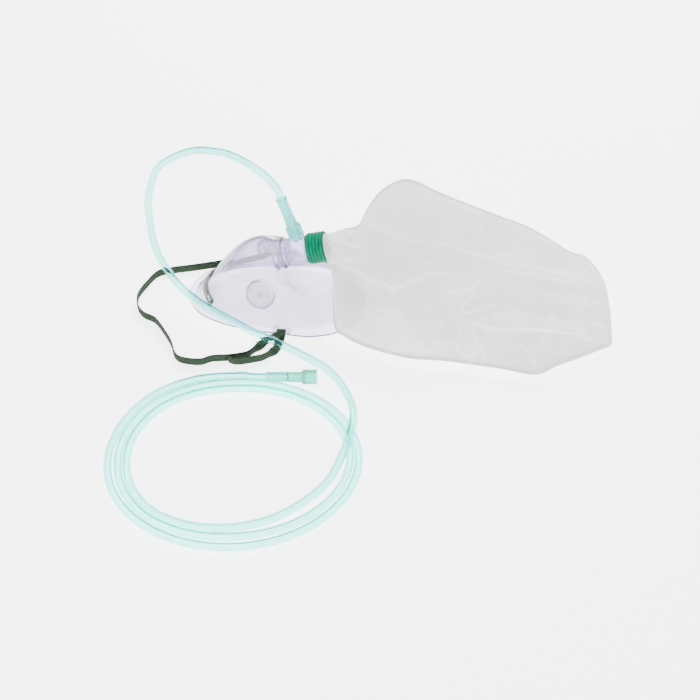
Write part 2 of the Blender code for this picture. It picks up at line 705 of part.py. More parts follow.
def make_bag(port, material):
    """A thin film: the air space inside, and outside it the same shape with a welded edge."""
    steps = BAG_ROUND
    to_world = MASK_MATRIX @ facing(PORT_RIM, PORT_AXIS, PORT_UP)
    neck_in = BAG_SPIGOT / 2 + GAP
    start = TEE_LENGTH + COLLAR_GAP
    end = start + COLLAR_LENGTH + 2 * GAP

    def neck_ring(radius, out):
        ring = []
        for step in range(steps):
            turn = math.tau * step / steps
            ring.append(to_world @ Vector((radius * math.sin(turn), -radius * math.cos(turn), out)))
        return ring

    def skin(margin, film, last):
        places = [last * row / BAG_ROWS for row in range(BAG_ROWS + 1)]
        rings = []
        for place in places:
            near = smooth_point([station[0] for station in BAG_STATIONS], place)
            far = smooth_point([station[1] for station in BAG_STATIONS], place)
            half = smooth_point([(station[2], 0.0, 0.0) for station in BAG_STATIONS], place).x
            share = min(1.0, place)
            rings.append(bag_ring((near, far, half), margin * share, film, steps))
        return rings

    count = len(BAG_STATIONS) - 1
    rings = list(reversed(skin(SEAM, FILM, count - 0.5)))
    rings += [neck_ring(neck_in, end), neck_ring(neck_in, start)]
    rings += [neck_ring(neck_in + FILM, start), neck_ring(neck_in + FILM, end)]
    rings += skin(0.0, 0.0, count)
    return add_object("reservoir_bag", loft("reservoir_bag", rings), material)


def make_mask_connector(frame, material):
    """Bell over the tee's nipple, cone and long cuff; the tube goes into the cuff."""
    start = TEE_BODY / 2 + BELL_LIFT
    shoulder = start + BELL_LENGTH
    neck = shoulder + SHOULDER
    end = neck + CUFF_LENGTH
    socket, nipple_end = NIPPLE / 2 + GAP, TEE_BODY / 2 + NIPPLE_LENGTH + GAP
    ease = GAUGE / 3
    profile = rounded((
        (LUMEN / 2, end, ease / 2), (CUFF / 2, end, ease), (CUFF / 2, neck, ease),
        (BELL / 2, shoulder, 2 * ease), (BELL / 2, start, ease), (socket, start, ease),
        (socket, nipple_end, 0), (LUMEN / 2, nipple_end, 0),
    ))
    turned("mask_end_connector", profile, material, frame, steps=ROUND_SMALL)
    return end


def make_tube(mouth, direction, material):
    """The tube from the mask's connector to the top of the coil."""
    line = even_points([mouth + GAP * direction, *ROUTE], 2.2 * TUBE)
    curve = bpy.data.curves.new("oxygen_tube", "CURVE")
    curve.dimensions = "3D"
    curve.bevel_depth = TUBE / 2
    curve.bevel_resolution = 3
    curve.use_fill_caps = True
    spline = curve.splines.new("POLY")
    spline.points.add(len(line) - 1)
    for spot, point in zip(spline.points, line):
        spot.co = (*point, 1.0)
    curve.materials.append(material)
    tube = bpy.data.objects.new("oxygen_tube", curve)
    PARTS.objects.link(tube)
    return tube


def make_coil(material):
    """The outer shape of the coiled stretch, one closed ring lying on the table."""
    inner = COIL_START - TUBE / 2
    outer = COIL_START + COIL_PITCH * COIL_TURNS + TUBE / 2
    ease = 0.45 * TUBE
    profile = rounded(((inner, TUBE, ease), (outer, TUBE, ease), (outer, 0.0, ease), (inner, 0.0, ease)))
    ring = turned("tube_coil", profile, material, None, steps=ROUND_COIL)
    ring.location = (*COIL_AT, 0.0)
    ring.scale = (1.0, COIL_SQUEEZE, 1.0)
    return ring


def make_supply_connector(material):
    """Cuff over the tube's end, cone and wide bell with an open socket, lying on the coil."""
    shoulder = SUPPLY_CUFF_LENGTH
    bell = shoulder + SHOULDER
    end = bell + SUPPLY_BELL_LENGTH
    tilt = math.asin((SUPPLY_BELL - SUPPLY_CUFF) / 2 / bell)
    height = TUBE + GAP + SUPPLY_CUFF / 2 / math.cos(tilt)
    yaw = math.radians(SUPPLY_TURN)
    axis = (math.cos(yaw) * math.cos(tilt), math.sin(yaw) * math.cos(tilt), math.sin(tilt))
    frame = frame_at("supply_frame", facing((*SUPPLY_AT, height), axis, (0.0, 0.0, 1.0)))
    ease = GAUGE / 3
    profile = rounded((
        (SOCKET / 2, end, ease), (SUPPLY_BELL / 2, end, ease), (SUPPLY_BELL / 2, bell, 2 * ease),
        (SUPPLY_CUFF / 2, shoulder, ease), (SUPPLY_CUFF / 2, 0.0, ease), (LUMEN / 2, 0.0, ease / 2),
        (LUMEN / 2, end - SOCKET_DEPTH, 0), (SOCKET / 2, end - SOCKET_DEPTH, 0),
    ))
    turned("supply_end_connector", profile, material, frame, steps=ROUND_SMALL)


clear_scene()
PARTS = new_collection("oxygen_face_mask")
CUTTERS = new_collection("cutters", hidden=True)

CLEAR = finish("clear_vinyl", (0.86, 0.85, 0.93), 0.15, alpha=0.45)
SILICONE = finish("valve_silicone", (0.84, 0.86, 0.88), 0.35, alpha=0.7)
METAL = finish("soft_aluminium", (0.66, 0.67, 0.61), 0.38, metallic=1.0)
ELASTIC = finish("green_elastic", (0.045, 0.085, 0.055), 0.85)
GREEN = finish("green_collar", (0.01, 0.42, 0.22), 0.45)
FILM_CLEAR = finish("frosted_film", (0.85, 0.85, 0.86), 0.5, alpha=0.75)
AQUA = finish("aqua_vinyl", (0.38, 0.76, 0.68), 0.35, alpha=0.9)
TUBING = finish("pale_green_tubing", (0.66, 0.84, 0.82), 0.2, alpha=0.6)

MASK_MATRIX = Matrix.Translation((*MASK_AT, 0.0)) @ Matrix.Rotation(math.radians(MASK_TURN), 4, "Z")
PORT_MATRIX = facing(PORT_RIM, PORT_AXIS, PORT_UP)
BAG_ALONG = MASK_MATRIX.to_3x3() @ Vector((1.0, 0.0, 0.0))

MASK = frame_at("mask_frame", MASK_MATRIX)
make_mask(MASK, CLEAR, SILICONE, METAL)
make_strap(ELASTIC)
PORT = frame_at("port_frame", PORT_MATRIX, MASK)
NIPPLE_FRAME = make_tee(PORT, CLEAR, SILICONE)
make_collar(PORT, GREEN)
make_bag(PORT, FILM_CLEAR)
CUFF_END = make_mask_connector(NIPPLE_FRAME, AQUA)
TO_NIPPLE = MASK_MATRIX @ PORT_MATRIX @ NIPPLE_FRAME.matrix_basis
make_tube(TO_NIPPLE @ Vector((0.0, 0.0, CUFF_END)), TO_NIPPLE.to_3x3() @ Vector((0.0, 0.0, 1.0)), TUBING)
make_coil(TUBING)
make_supply_connector(AQUA)
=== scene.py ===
import math

import bmesh
import bpy
import numpy
from mathutils import Matrix, Vector, noise


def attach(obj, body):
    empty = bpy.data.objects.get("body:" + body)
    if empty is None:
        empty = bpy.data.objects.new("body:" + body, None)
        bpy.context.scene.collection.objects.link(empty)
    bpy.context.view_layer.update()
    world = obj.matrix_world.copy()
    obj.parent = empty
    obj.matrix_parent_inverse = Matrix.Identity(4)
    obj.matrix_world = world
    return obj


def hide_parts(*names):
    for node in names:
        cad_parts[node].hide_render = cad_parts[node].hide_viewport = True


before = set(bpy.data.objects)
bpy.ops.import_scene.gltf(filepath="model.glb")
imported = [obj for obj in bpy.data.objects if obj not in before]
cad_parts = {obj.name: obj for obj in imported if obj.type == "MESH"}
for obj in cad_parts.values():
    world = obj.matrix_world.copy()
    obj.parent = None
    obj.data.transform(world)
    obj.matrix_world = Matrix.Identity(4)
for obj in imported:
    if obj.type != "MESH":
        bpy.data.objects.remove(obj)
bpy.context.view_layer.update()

# Camera, floor and light
# The photograph looks down at 42 degrees from 1.5 m off, along +Y. The floor is a white light
# table with a painted shadow of the mask: its glow is dimmed inside the mask, where light would
# come only through its tinted wall. The light above is broad and soft but weaker towards the
# horizon, so that clear plastic shows by its edges.

ELEVATION = math.radians(42.0)
DISTANCE = 1.5
TARGET = Vector((-0.018, -0.0455, 0.0))
SPAN = 0.570            # width of the table that the frame covers at the target
SENSOR = 36.0           # the camera's own film width, in mm
TABLE_HALF = 6.0
TABLE_SINK = 0.0002     # how far the table lies under the object's feet
TABLE_WHITE = (0.90, 0.90, 0.90), (0.92, 0.92, 0.92)
TABLE_GLOW = 3.6, 0.35          # near the object, and far off
GLOW_FADE = 0.55, 1.25          # how far out the glow begins to fade, and ends
MASK_AT = (-0.0756, 0.0203)
MASK_TURN = -6.0
MASK_ROOM = (0.0700, 0.0430)    # half the length and width of the table inside the mask
MASK_PAINTED_SHADOW = 0.20                 # share of the glow left inside the mask by its painted shadow
PAINTED_SHADOW_FADE = 0.80, 1.04           # where the painted shadow fades out, in shares of that room
HORIZON, ZENITH = (0.14, 0.14, 0.15, 1.0), (1.0, 1.0, 1.0, 1.0)
SKY_TOP = 0.80                  # how far up the sky is at its brightest
SKY_STRENGTH = 0.75
LIGHTS_FACE = Vector((0.0, -0.04, 0.03))

camera_data = bpy.data.cameras.new("camera")
camera_data.sensor_width = SENSOR
camera_data.lens = SENSOR * DISTANCE / SPAN
camera_data.clip_start = 0.01
camera = bpy.data.objects.new("camera", camera_data)
camera.location = TARGET + DISTANCE * Vector((0.0, -math.cos(ELEVATION), math.sin(ELEVATION)))
camera.rotation_euler = (math.radians(90.0) - ELEVATION, 0.0, 0.0)
bpy.context.scene.collection.objects.link(camera)
bpy.context.scene.camera = camera


def add_piece(name, mesh, material, *nodes, shadow=True):
    """A new piece of the object on the one rigid body, in place of these CAD nodes."""
    piece = bpy.data.objects.new(name, mesh)
    bpy.context.scene.collection.objects.link(piece)
    mesh.materials.append(material)
    piece.visible_shadow = shadow
    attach(piece, "root")
    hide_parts(*nodes)
    return piece


class Finish:
    """A material in the making. Each step adds nodes and hands back what they give."""

    def __init__(self, name):
        self.material = bpy.data.materials.new(name)
        self.material.use_nodes = True
        self.tree = self.material.node_tree
        self.tree.nodes.clear()
        self.output = self.node("OutputMaterial")
        self.place = self.node("TexCoord").outputs["Object"]

    def node(self, kind, inputs=None, **settings):
        """A node with its settings, and with a socket or a plain value on each input."""
        made = self.tree.nodes.new("ShaderNode" + kind)
        for key, value in settings.items():
            setattr(made, key, value)
        for key, value in (inputs or {}).items():
            if isinstance(value, bpy.types.NodeSocket):
                self.tree.links.new(value, made.inputs[key])
            else:
                made.inputs[key].default_value = value
        return made

    def noise(self, scale, detail, place=None):
        """Cloudy noise of this many cells to a metre."""
        place = self.place if place is None else place
        inputs = {"Vector": place, "Scale": scale, "Detail": detail}
        return self.node("TexNoise", inputs).outputs["Fac"]

    def mark(self, name):
        """What the mesh says of itself at each point under this name."""
        return self.node("Attribute", attribute_name=name).outputs["Fac"]

    def shades(self, share, colours, stops=(0.0, 1.0)):
        """A colour between two as the share passes from one stop to the other."""
        made = self.node("ValToRGB", {"Fac": share})
        for element, stop, colour in zip(made.color_ramp.elements, stops, colours):
            element.position = stop
            element.color = (*colour, 1.0)
        return made.outputs["Color"]

    def spread(self, value, wanted, given=(0.0, 1.0), ease="LINEAR"):
        """A value of the given range, spread over the wanted one."""
        inputs = {"Value": value, "From Min": given[0], "From Max": given[1]}
        inputs.update({"To Min": wanted[0], "To Max": wanted[1]})
        return self.node("MapRange", inputs, interpolation_type=ease).outputs["Result"]

    def maths(self, operation, first, second):
        """One sum of two values."""
        return self.node("Math", {0: first, 1: second}, operation=operation).outputs["Value"]

    def mix(self, share, first, second):
        """Two colours mixed, the share being the second's."""
        inputs = {"Factor": share, "A": first, "B": second}
        return self.node("Mix", inputs, data_type="RGBA").outputs["Result"]

    def coat(self, sockets, height=None, strength=1.0, depth=0.0001):
        """The surface itself, with dents this deep where a height is given."""
        if height is not None:
            dents = self.node("Bump", {"Height": height, "Strength": strength, "Distance": depth})
            sockets = {**sockets, "Normal": dents.outputs["Normal"]}
        shader = self.node("BsdfPrincipled", sockets)
        self.tree.links.new(shader.outputs["BSDF"], self.output.inputs["Surface"])
        return self.material


table = Finish("floor")
away = table.node("VectorMath", {0: table.place}, operation="LENGTH").outputs["Value"]
glow = table.spread(away, TABLE_GLOW, GLOW_FADE, "SMOOTHSTEP")
room = table.node("Mapping", {
    "Vector": table.place, "Location": (*MASK_AT, 0.0),
    "Rotation": (0.0, 0.0, math.radians(MASK_TURN)), "Scale": (*MASK_ROOM, 1.0),
}, vector_type="TEXTURE").outputs["Vector"]
inside = table.node("VectorMath", {0: room}, operation="LENGTH").outputs["Value"]
# painted shadow of the mask on the table: the glow is dimmed inside the mask's outline
painted_shadow = table.spread(inside, (MASK_PAINTED_SHADOW, 1.0), PAINTED_SHADOW_FADE, "SMOOTHSTEP")
paper = table.coat({
    "Base Color": table.shades(table.noise(40.0, 3.0), TABLE_WHITE), "Roughness": 0.7,
    "Specular IOR Level": 0.1, "Emission Color": (1.0, 1.0, 1.0, 1.0),
    "Emission Strength": table.maths("MULTIPLY", glow, painted_shadow),
})

floor_mesh = bpy.data.meshes.new("floor")
shape = bmesh.new()
bmesh.ops.create_grid(shape, x_segments=1, y_segments=1, size=TABLE_HALF)
shape.to_mesh(floor_mesh)
shape.free()
floor_mesh.materials.append(paper)
floor = bpy.data.objects.new("floor", floor_mesh)
floor.location.z = -TABLE_SINK
bpy.context.scene.collection.objects.link(floor)

world = bpy.data.worlds.new("studio")
world.use_nodes = True
sky = world.node_tree
around = sky.nodes.new("ShaderNodeTexCoord")
split = sky.nodes.new("ShaderNodeSeparateXYZ")
fade = sky.nodes.new("ShaderNodeValToRGB")
fade.color_ramp.elements[0].color = HORIZON
fade.color_ramp.elements[1].color = ZENITH
fade.color_ramp.elements[1].position = SKY_TOP
sky.links.new(around.outputs["Generated"], split.inputs["Vector"])
sky.links.new(split.outputs["Z"], fade.inputs["Fac"])
sky.links.new(fade.outputs["Color"], sky.nodes["Background"].inputs["Color"])
sky.nodes["Background"].inputs["Strength"].default_value = SKY_STRENGTH
bpy.context.scene.world = world


def add_light(name, place, size, power):
    """A square soft box that faces the middle of the object and leaves no glare on it."""
    data = bpy.data.lights.new(name, "AREA")
    data.shape = "RECTANGLE"
    data.size = data.size_y = size
    data.energy = power
    light = bpy.data.objects.new(name, data)
    light.location = place
    light.rotation_euler = (LIGHTS_FACE - light.location).to_track_quat("-Z", "Y").to_euler()
    light.visible_glossy = False
    bpy.context.scene.collection.objects.link(light)


add_light("key", (0.25, 1.10, 1.00), 0.55, 44.0)
add_light("fill", (-0.5, -0.9, 1.5), 1.2, 36.0)

# Places that several pieces share
# The mask lies on its face flange, nose to -X. Its port leans up at the chin end, the tee's
# nipple stands up from the tee's body, and the bag's film runs on from the collar.

TUBE = 0.0065
LUMEN = 0.0040
PORT_AT = (0.0042, 0.0494)      # the middle of the port's rim, along the mask and up
PORT_RISE = 15.0
PORT_BORE = 0.0220
PORT_NECK = 0.0080
TEE_BODY = 0.0232
NIPPLE_AT = 0.0150
NIPPLE_LEAN = 5.0
NIPPLE_ROLL = 6.0
CUFF_START, CUFF_END = 0.0266, 0.0506   # ends of the mask-end cuff, along the nipple
PORT_TILT = math.radians(PORT_RISE)
PORT_AXIS = Vector((math.cos(PORT_TILT), 0.0, math.sin(PORT_TILT)))
PORT_UP = Vector((-math.sin(PORT_TILT), 0.0, math.cos(PORT_TILT)))
PORT_RIM = Vector((PORT_AT[0], 0.0, PORT_AT[1]))


def facing(origin, axis, side):
    """A matrix at origin with Z along axis and X as near to side as it can be."""
    z = Vector(axis).normalized()
    x = Vector(side)
    x = (x - x.dot(z) * z).normalized()
    return Matrix.Translation(Vector(origin)) @ Matrix((x, z.cross(x), z)).transposed().to_4x4()


def nipple_axis():
    """Which way the nipple points, in the port's frame."""
    lean, roll = math.radians(NIPPLE_LEAN), math.radians(NIPPLE_ROLL)
    return (math.cos(lean) * math.cos(roll), -math.cos(lean) * math.sin(roll), -math.sin(lean))


MASK_MATRIX = Matrix.Translation((*MASK_AT, 0.0)) @ Matrix.Rotation(math.radians(MASK_TURN), 4, "Z")
PORT_MATRIX = MASK_MATRIX @ facing(PORT_RIM, PORT_AXIS, PORT_UP)
NIPPLE_MATRIX = PORT_MATRIX @ facing((0.0, 0.0, NIPPLE_AT), nipple_axis(), (0.0, 0.0, 1.0))
SUPPLY_AT = Vector((-0.0845, -0.0893, 0.0108))
SUPPLY_AXIS = Vector((0.9935, -0.0782, 0.0700)).normalized()

# Supply tube
# One hollow clear tube: out of the mask-end cuff, over the nose and the strap, then 2.8
# turns of a loose coil whose last turn rises into the cuff of the supply connector.

ROUTE = (
    (-0.0778, 0.0265, 0.1115), (-0.0880, 0.0340, 0.1188), (-0.1020, 0.0450, 0.1220),
    (-0.1180, 0.0595, 0.1200), (-0.1365, 0.0740, 0.1130), (-0.1500, 0.0855, 0.1040),
    (-0.1655, 0.0945, 0.0915), (-0.1805, 0.1005, 0.0755), (-0.1870, 0.0985, 0.0605),
    (-0.1900, 0.0895, 0.0470), (-0.1880, 0.0775, 0.0360), (-0.1845, 0.0620, 0.0275),
    (-0.1785, 0.0480, 0.0205), (-0.1695, 0.0335, 0.0155), (-0.1595, 0.0200, 0.0120),
    (-0.1455, 0.0055, 0.0100), (-0.1285, -0.0085, 0.0090), (-0.1125, -0.0210, 0.0090),
    (-0.0965, -0.0345, 0.0100), (-0.0820, -0.0450, 0.0110), (-0.0650, -0.0560, 0.0100),
    (-0.0495, -0.0640, 0.0065), (-0.0365, -0.0725, 0.0040), (-0.0260, -0.0890, 0.0045),
    (-0.0185, -0.1105, 0.0075), (-0.0155, -0.1290, 0.0105), (-0.0165, -0.1460, 0.0105),
    (-0.0205, -0.1630, 0.0103),
)
TUBE_STEP = 0.0022      # between the tube's rings of points
TUBE_SIDES = 24
TUBE_HOLD = 0.018       # length of tube inside a connector
SUPPLY_LEAD = 0.011     # straight run before the supply connector
COIL_AT = Vector((-0.1060, -0.1705, 0.0))
COIL_SQUEEZE = 0.95
COIL = (                # radius and height of the tube's middle at each eighth of a turn
    (0.0835, 0.0096), (0.0735, 0.0040), (0.0770, 0.0034), (0.0835, 0.0034),
    (0.0820, 0.0034), (0.0825, 0.0034), (0.0803, 0.0034), (0.0840, 0.0034),
    (0.0880, 0.0034), (0.0868, 0.0034), (0.0865, 0.0034), (0.0905, 0.0034),
    (0.0888, 0.0034), (0.0892, 0.0034), (0.0872, 0.0034), (0.0910, 0.0034),
    (0.0947, 0.0034), (0.0955, 0.0034), (0.0970, 0.0034), (0.0980, 0.0034),
    (0.0962, 0.0038), (0.0926, 0.0092), (0.0877, 0.0102),
)


def smooth_point(points, place, closed=False):
    """A point on the smooth curve through the points, place counted in points."""
    count = len(points)
    span = math.floor(place)
    share = place - span
    if not closed and span >= count - 1:
        span, share = count - 2, 1.0

    def pick(number):
        if closed:
            return Vector(points[number % count])
        if number < 0:
            return 2 * Vector(points[0]) - Vector(points[1])
        if number >= count:
            return 2 * Vector(points[-1]) - Vector(points[-2])
        return Vector(points[number])

    before, start, end, after = (pick(span + step) for step in (-1, 0, 1, 2))
    return 0.5 * (
        2 * start
        + (end - before) * share
        + (2 * before - 5 * start + 4 * end - after) * share**2
        + (3 * start - before - 3 * end + after) * share**3
    )


def even_points(points, spacing):
    """Points at an even spacing along the smooth curve through the given points."""
    walk = [smooth_point(points, step / 16) for step in range((len(points) - 1) * 16 + 1)]
    lengths = [0.0]
    for first, second in zip(walk, walk[1:]):
        lengths.append(lengths[-1] + (second - first).length)
    count = max(2, round(lengths[-1] / spacing))
    even, spot = [], 0
    for step in range(count + 1):
        want = lengths[-1] * step / count
        while spot < len(walk) - 2 and lengths[spot + 1] < want:
            spot += 1
        share = (want - lengths[spot]) / (lengths[spot + 1] - lengths[spot])
        even.append(walk[spot].lerp(walk[spot + 1], min(1.0, share)))
    return even


def skin(rings, looped=False, capped=False, sharp=None, marks=None):
    """A mesh over closed rings of equally many points, with marks for its material to read."""
    count = len(rings[0])
    faces = []
    for row in range(len(rings) if looped else len(rings) - 1):
        first, second = row * count, (row + 1) % len(rings) * count
        for step in range(count):
            after = (step + 1) % count
            faces.append((first + step, first + after, second + after, second + step))
    if capped:
        last = (len(rings) - 1) * count
        faces.append(tuple(reversed(range(count))))
        faces.append(tuple(range(last, last + count)))
    mesh = bpy.data.meshes.new("skin")
    mesh.from_pydata([tuple(point) for ring in rings for point in ring], [], faces)
    for name, values in (marks or {}).items():
        values = numpy.clip(numpy.array(values, dtype=float).ravel(), 0.0, 1.0)
        mesh.attributes.new(name, "FLOAT", "POINT").data.foreach_set("value", values)
    shape = bmesh.new()
    shape.from_mesh(mesh)
    bmesh.ops.remove_doubles(shape, verts=shape.verts, dist=0.000002)
    bmesh.ops.recalc_face_normals(shape, faces=shape.faces)
    shape.to_mesh(mesh)
    shape.free()
    mesh.shade_smooth()
    if sharp:
        mesh.set_sharp_from_angle(angle=math.radians(sharp))
    return mesh


def circle(radius, steps):
    """Points (x, y) spaced evenly round a circle."""
    turns = [math.tau * step / steps for step in range(steps)]
    return [(radius * math.cos(turn), radius * math.sin(turn)) for turn in turns]


def circles_along(line, radius, steps):
    """Rings of one radius about a line, turned as little as they can be."""
    rings = []
    side = Vector((0.0, 0.0, 1.0)).cross(line[1] - line[0]).normalized()
    for number, middle in enumerate(line):
        forward = (line[min(len(line) - 1, number + 1)] - line[max(0, number - 1)]).normalized()
        side = (side - side.dot(forward) * forward).normalized()
        other = forward.cross(side)
        rings.append([middle + x * side + y * other for x, y in circle(radius, steps)])
    return rings


def tube_points():
    """The tube's middle from inside the mask-end cuff to inside the supply cuff."""
    along = NIPPLE_MATRIX.to_3x3() @ Vector((0.0, 0.0, 1.0))
    mouth = NIPPLE_MATRIX @ Vector((0.0, 0.0, CUFF_END))
    points = [mouth - TUBE_HOLD * along, mouth - TUBE_HOLD / 2 * along, mouth]
    points += [Vector(point) for point in ROUTE]
    for step in range(2 * len(COIL) - 1):
        angle = -math.tau * step / 16
        radius, height, _ = smooth_point([(*pair, 0.0) for pair in COIL], step / 2)
        across = Vector((math.cos(angle), COIL_SQUEEZE * math.sin(angle), 0.0))
        points.append(COIL_AT + radius * across + Vector((0.0, 0.0, height)))
    points += [SUPPLY_AT + reach * SUPPLY_AXIS for reach in (-SUPPLY_LEAD, 0.0, TUBE_HOLD / 2, TUBE_HOLD)]
    return points


def clear_plastic(name, tint, density, shade, edge, clear, rough, waves, cells):
    """A clear plastic: bright skin with faint waves, and a body that tints what lies behind.

    Its wall is deeper where it is seen along itself, so its outline takes the edge colour.
    """
    finish = Finish(name)
    swell = finish.noise(cells, 4.0)
    colour = finish.shades(swell, (tuple(0.96 * part for part in shade), shade), (0.3, 0.7))
    facing_away = finish.node("LayerWeight", {"Blend": 0.5}).outputs["Facing"]
    outline = finish.spread(facing_away, (0.0, 1.0), (0.42, 0.80), "SMOOTHSTEP")
    body = finish.node("VolumeAbsorption", {"Color": (*tint, 1.0), "Density": density})
    finish.tree.links.new(body.outputs["Volume"], finish.output.inputs["Volume"])
    return finish.coat({
        "Base Color": finish.mix(outline, colour, (*edge, 1.0)),
        "Roughness": finish.spread(finish.noise(9 * cells, 2.0), (0.6 * rough, 1.5 * rough)),
        "Transmission Weight": clear, "IOR": 1.45,
    }, swell, waves, 0.0004)


tube_line = even_points(tube_points(), TUBE_STEP)
tube_rings = circles_along(tube_line, TUBE / 2, TUBE_SIDES)
tube_rings += reversed(circles_along(tube_line, LUMEN / 2, TUBE_SIDES))
tubing = clear_plastic(
    "pale_green_tubing", tint=(0.24, 0.92, 0.87), density=600.0, shade=(0.93, 0.985, 0.975),
    edge=(0.20, 0.40, 0.38), clear=1.0, rough=0.05, waves=0.15, cells=90.0,
)
tube = skin(tube_rings, looped=True)
tube = add_piece("oxygen_tube", tube, tubing, "oxygen_tube", "tube_coil", shadow=False)

# Tube connectors
# Two soft mouldings of aqua vinyl, a narrow cuff and a wide bell with a cone between them. Where
# the wall is thick, at the bell, the colour is full, and the tube shows through the thin cuff.

CUFF = 0.0043           # radii of the mask-end connector
CUFF_ROLL = 0.0047
BELL = 0.0064
BELL_BAND = 0.0067
BELL_FOOT = 0.0136      # the bell's open end, along the nipple
SUPPLY_CUFF = 0.0040    # radii of the supply connector
SUPPLY_BELL = 0.0058
SUPPLY_BAND = 0.0061
SUPPLY_SOCKET = 0.0036
SUPPLY_LENGTH = 0.0405
SLIP = 0.0001           # room between the tube and a connector
TUBE_SEAT = 0.0185      # depth of a cuff's bore


def turned(profile, matrix, steps=72, sharp=35, looped=True):
    """A profile of (radius, height) points turned about the Z axis of a matrix."""
    rings = []
    for radius, height in profile:
        rings.append([matrix @ Vector((x, y, height)) for x, y in circle(radius, steps)])
    return skin(rings, looped=looped, sharp=sharp)


def rounded(corners, steps=4):
    """A profile with its corners eased: each corner is (radius, height, size of the curve)."""
    profile = []
    count = len(corners)
    for number, (radius, height, size) in enumerate(corners):
        corner = Vector((radius, height))
        if not size:
            profile.append(tuple(corner))
            continue
        before = Vector(corners[number - 1][:2]) - corner
        after = Vector(corners[(number + 1) % count][:2]) - corner
        start, end = corner + size * before.normalized(), corner + size * after.normalized()
        for step in range(steps + 1):
            share = step / steps
            left, right = start.lerp(corner, share), corner.lerp(end, share)
            profile.append(tuple(left.lerp(right, share)))
    return profile


mask_end = turned(rounded((
    (TUBE / 2 + SLIP, CUFF_END, 0.0003), (CUFF_ROLL, CUFF_END, 0.0004),
    (CUFF_ROLL, CUFF_END - 0.0016, 0.0003), (CUFF, CUFF_END - 0.0020, 0.0003),
    (CUFF + 0.0003, CUFF_START - 0.0010, 0.0005), (BELL - 0.0001, 0.0234, 0.0006),
    (BELL, 0.0215, 0.0002), (BELL_BAND, 0.0212, 0.0002), (BELL_BAND, 0.0203, 0.0002),
    (BELL, 0.0200, 0.0002), (BELL, 0.0152, 0.0002), (BELL_BAND, 0.0149, 0.0002),
    (BELL_BAND, BELL_FOOT, 0.0004), (0.0034, BELL_FOOT, 0.0004), (0.0034, 0.0219, 0.0),
    (LUMEN / 2, 0.0222, 0.0), (LUMEN / 2, CUFF_END - TUBE_SEAT, 0.0),
    (TUBE / 2 + SLIP, CUFF_END - TUBE_SEAT, 0.0),
)), NIPPLE_MATRIX)
cloudy_aqua = clear_plastic(
    "cloudy_aqua_vinyl", tint=(0.04, 0.86, 0.82), density=440.0, shade=(0.42, 0.98, 0.94),
    edge=(0.12, 0.40, 0.36), clear=0.78, rough=0.26, waves=0.30, cells=220.0,
)
mask_end = add_piece("mask_end_connector", mask_end, cloudy_aqua, "mask_end_connector", shadow=False)

supply_end = turned(rounded((
    (SUPPLY_SOCKET, SUPPLY_LENGTH, 0.0004), (SUPPLY_BAND, SUPPLY_LENGTH, 0.0005),
    (SUPPLY_BAND, 0.0390, 0.0002), (SUPPLY_BELL, 0.0387, 0.0002), (SUPPLY_BELL, 0.0318, 0.0002),
    (SUPPLY_BAND, 0.0315, 0.0002), (SUPPLY_BAND, 0.0298, 0.0005), (0.0042, 0.0282, 0.0005),
    (SUPPLY_CUFF, 0.0018, 0.0002), (SUPPLY_CUFF + SLIP, 0.0015, 0.0002), (SUPPLY_CUFF + SLIP, 0.0, 0.0004),
    (TUBE / 2 + SLIP, 0.0, 0.0003), (TUBE / 2 + SLIP, TUBE_SEAT, 0.0), (LUMEN / 2, TUBE_SEAT, 0.0),
    (LUMEN / 2, 0.0312, 0.0), (SUPPLY_SOCKET, 0.0315, 0.0),
)), facing(SUPPLY_AT, SUPPLY_AXIS, (0.0, 0.0, 1.0)))
clear_aqua = clear_plastic(
    "clear_aqua_vinyl", tint=(0.02, 0.86, 0.79), density=900.0, shade=(0.60, 0.99, 0.965),
    edge=(0.14, 0.42, 0.36), clear=0.88, rough=0.14, waves=0.20, cells=160.0,
)
supply_end = add_piece("supply_end_connector", supply_end, clear_aqua, "supply_end_connector", shadow=False)

# Mask shell
# One soft clear moulding: flat face flange, dome, port with a beaded rim, a flat seat with
# six vents on each side, a slotted ear on each side and two pins for the nose clip.

GAP = 0.0003
GAUGE = 0.0013
FLANGE_OUTLINE = (
    (0.0705, 0.0), (0.0665, 0.0215), (0.0525, 0.0395), (0.0300, 0.0475), (0.0040, 0.0465),
    (-0.0220, 0.0440), (-0.0462, 0.0380), (-0.0657, 0.0270), (-0.0762, 0.0098),
)
FLANGE_WIDTH = 0.0055
FOOT = 0.0010           # rounding between the flange and the wall
BEAD = 0.0012
DARK_EDGE = 0.0012      # width of the flange's dark edge
OUTLINE_STEPS = 384
NOSE_LEAN, SIDE_LEAN, CHIN_LEAN = 48.0, 74.0, 58.0
FULLNESS = 1.28
VALVE_ROUND, VALVE_RISE = 0.275, 0.42
VALVE_SEAT = 0.0250
SEAT_HEIGHT = 0.0012
SEAT_HOLE = 0.0014
VENTS = 6
VENT_RING = 0.0054
VENT_RADIUS = 0.0018
EAR_AT = 0.0060
EAR_LENGTH, EAR_WIDTH = 0.0164, 0.0084
EAR_SHEET = 0.0016
EAR_LIFT = 0.0022
EAR_BAR = 0.0024
EAR_OVERHANG = 0.0018
SLOT_LENGTH, SLOT_WIDTH = 0.0086, 0.0028
NOTCH_LENGTH, NOTCH_WIDTH = 0.0096, 0.0094      # clear of the strap, under the ear
PIN_RADIUS, PIN_TOP = 0.00065, 0.0019
PIN_AT, PIN_AHEAD = 0.80, 0.84          # a pin, and what it looks to, as shares along the clip
CLIP_SPREAD = 0.110     # the clip's half length, as a share of a turn round the shell
CLIP_RISE, CLIP_DROP = 0.145, 0.060
HALF = [Vector((x, y, 0.0)) for x, y in FLANGE_OUTLINE]
WHOLE_OUTLINE = HALF + [Vector((point.x, -point.y, 0.0)) for point in reversed(HALF[1:])]
STILL = Matrix.Identity(4)


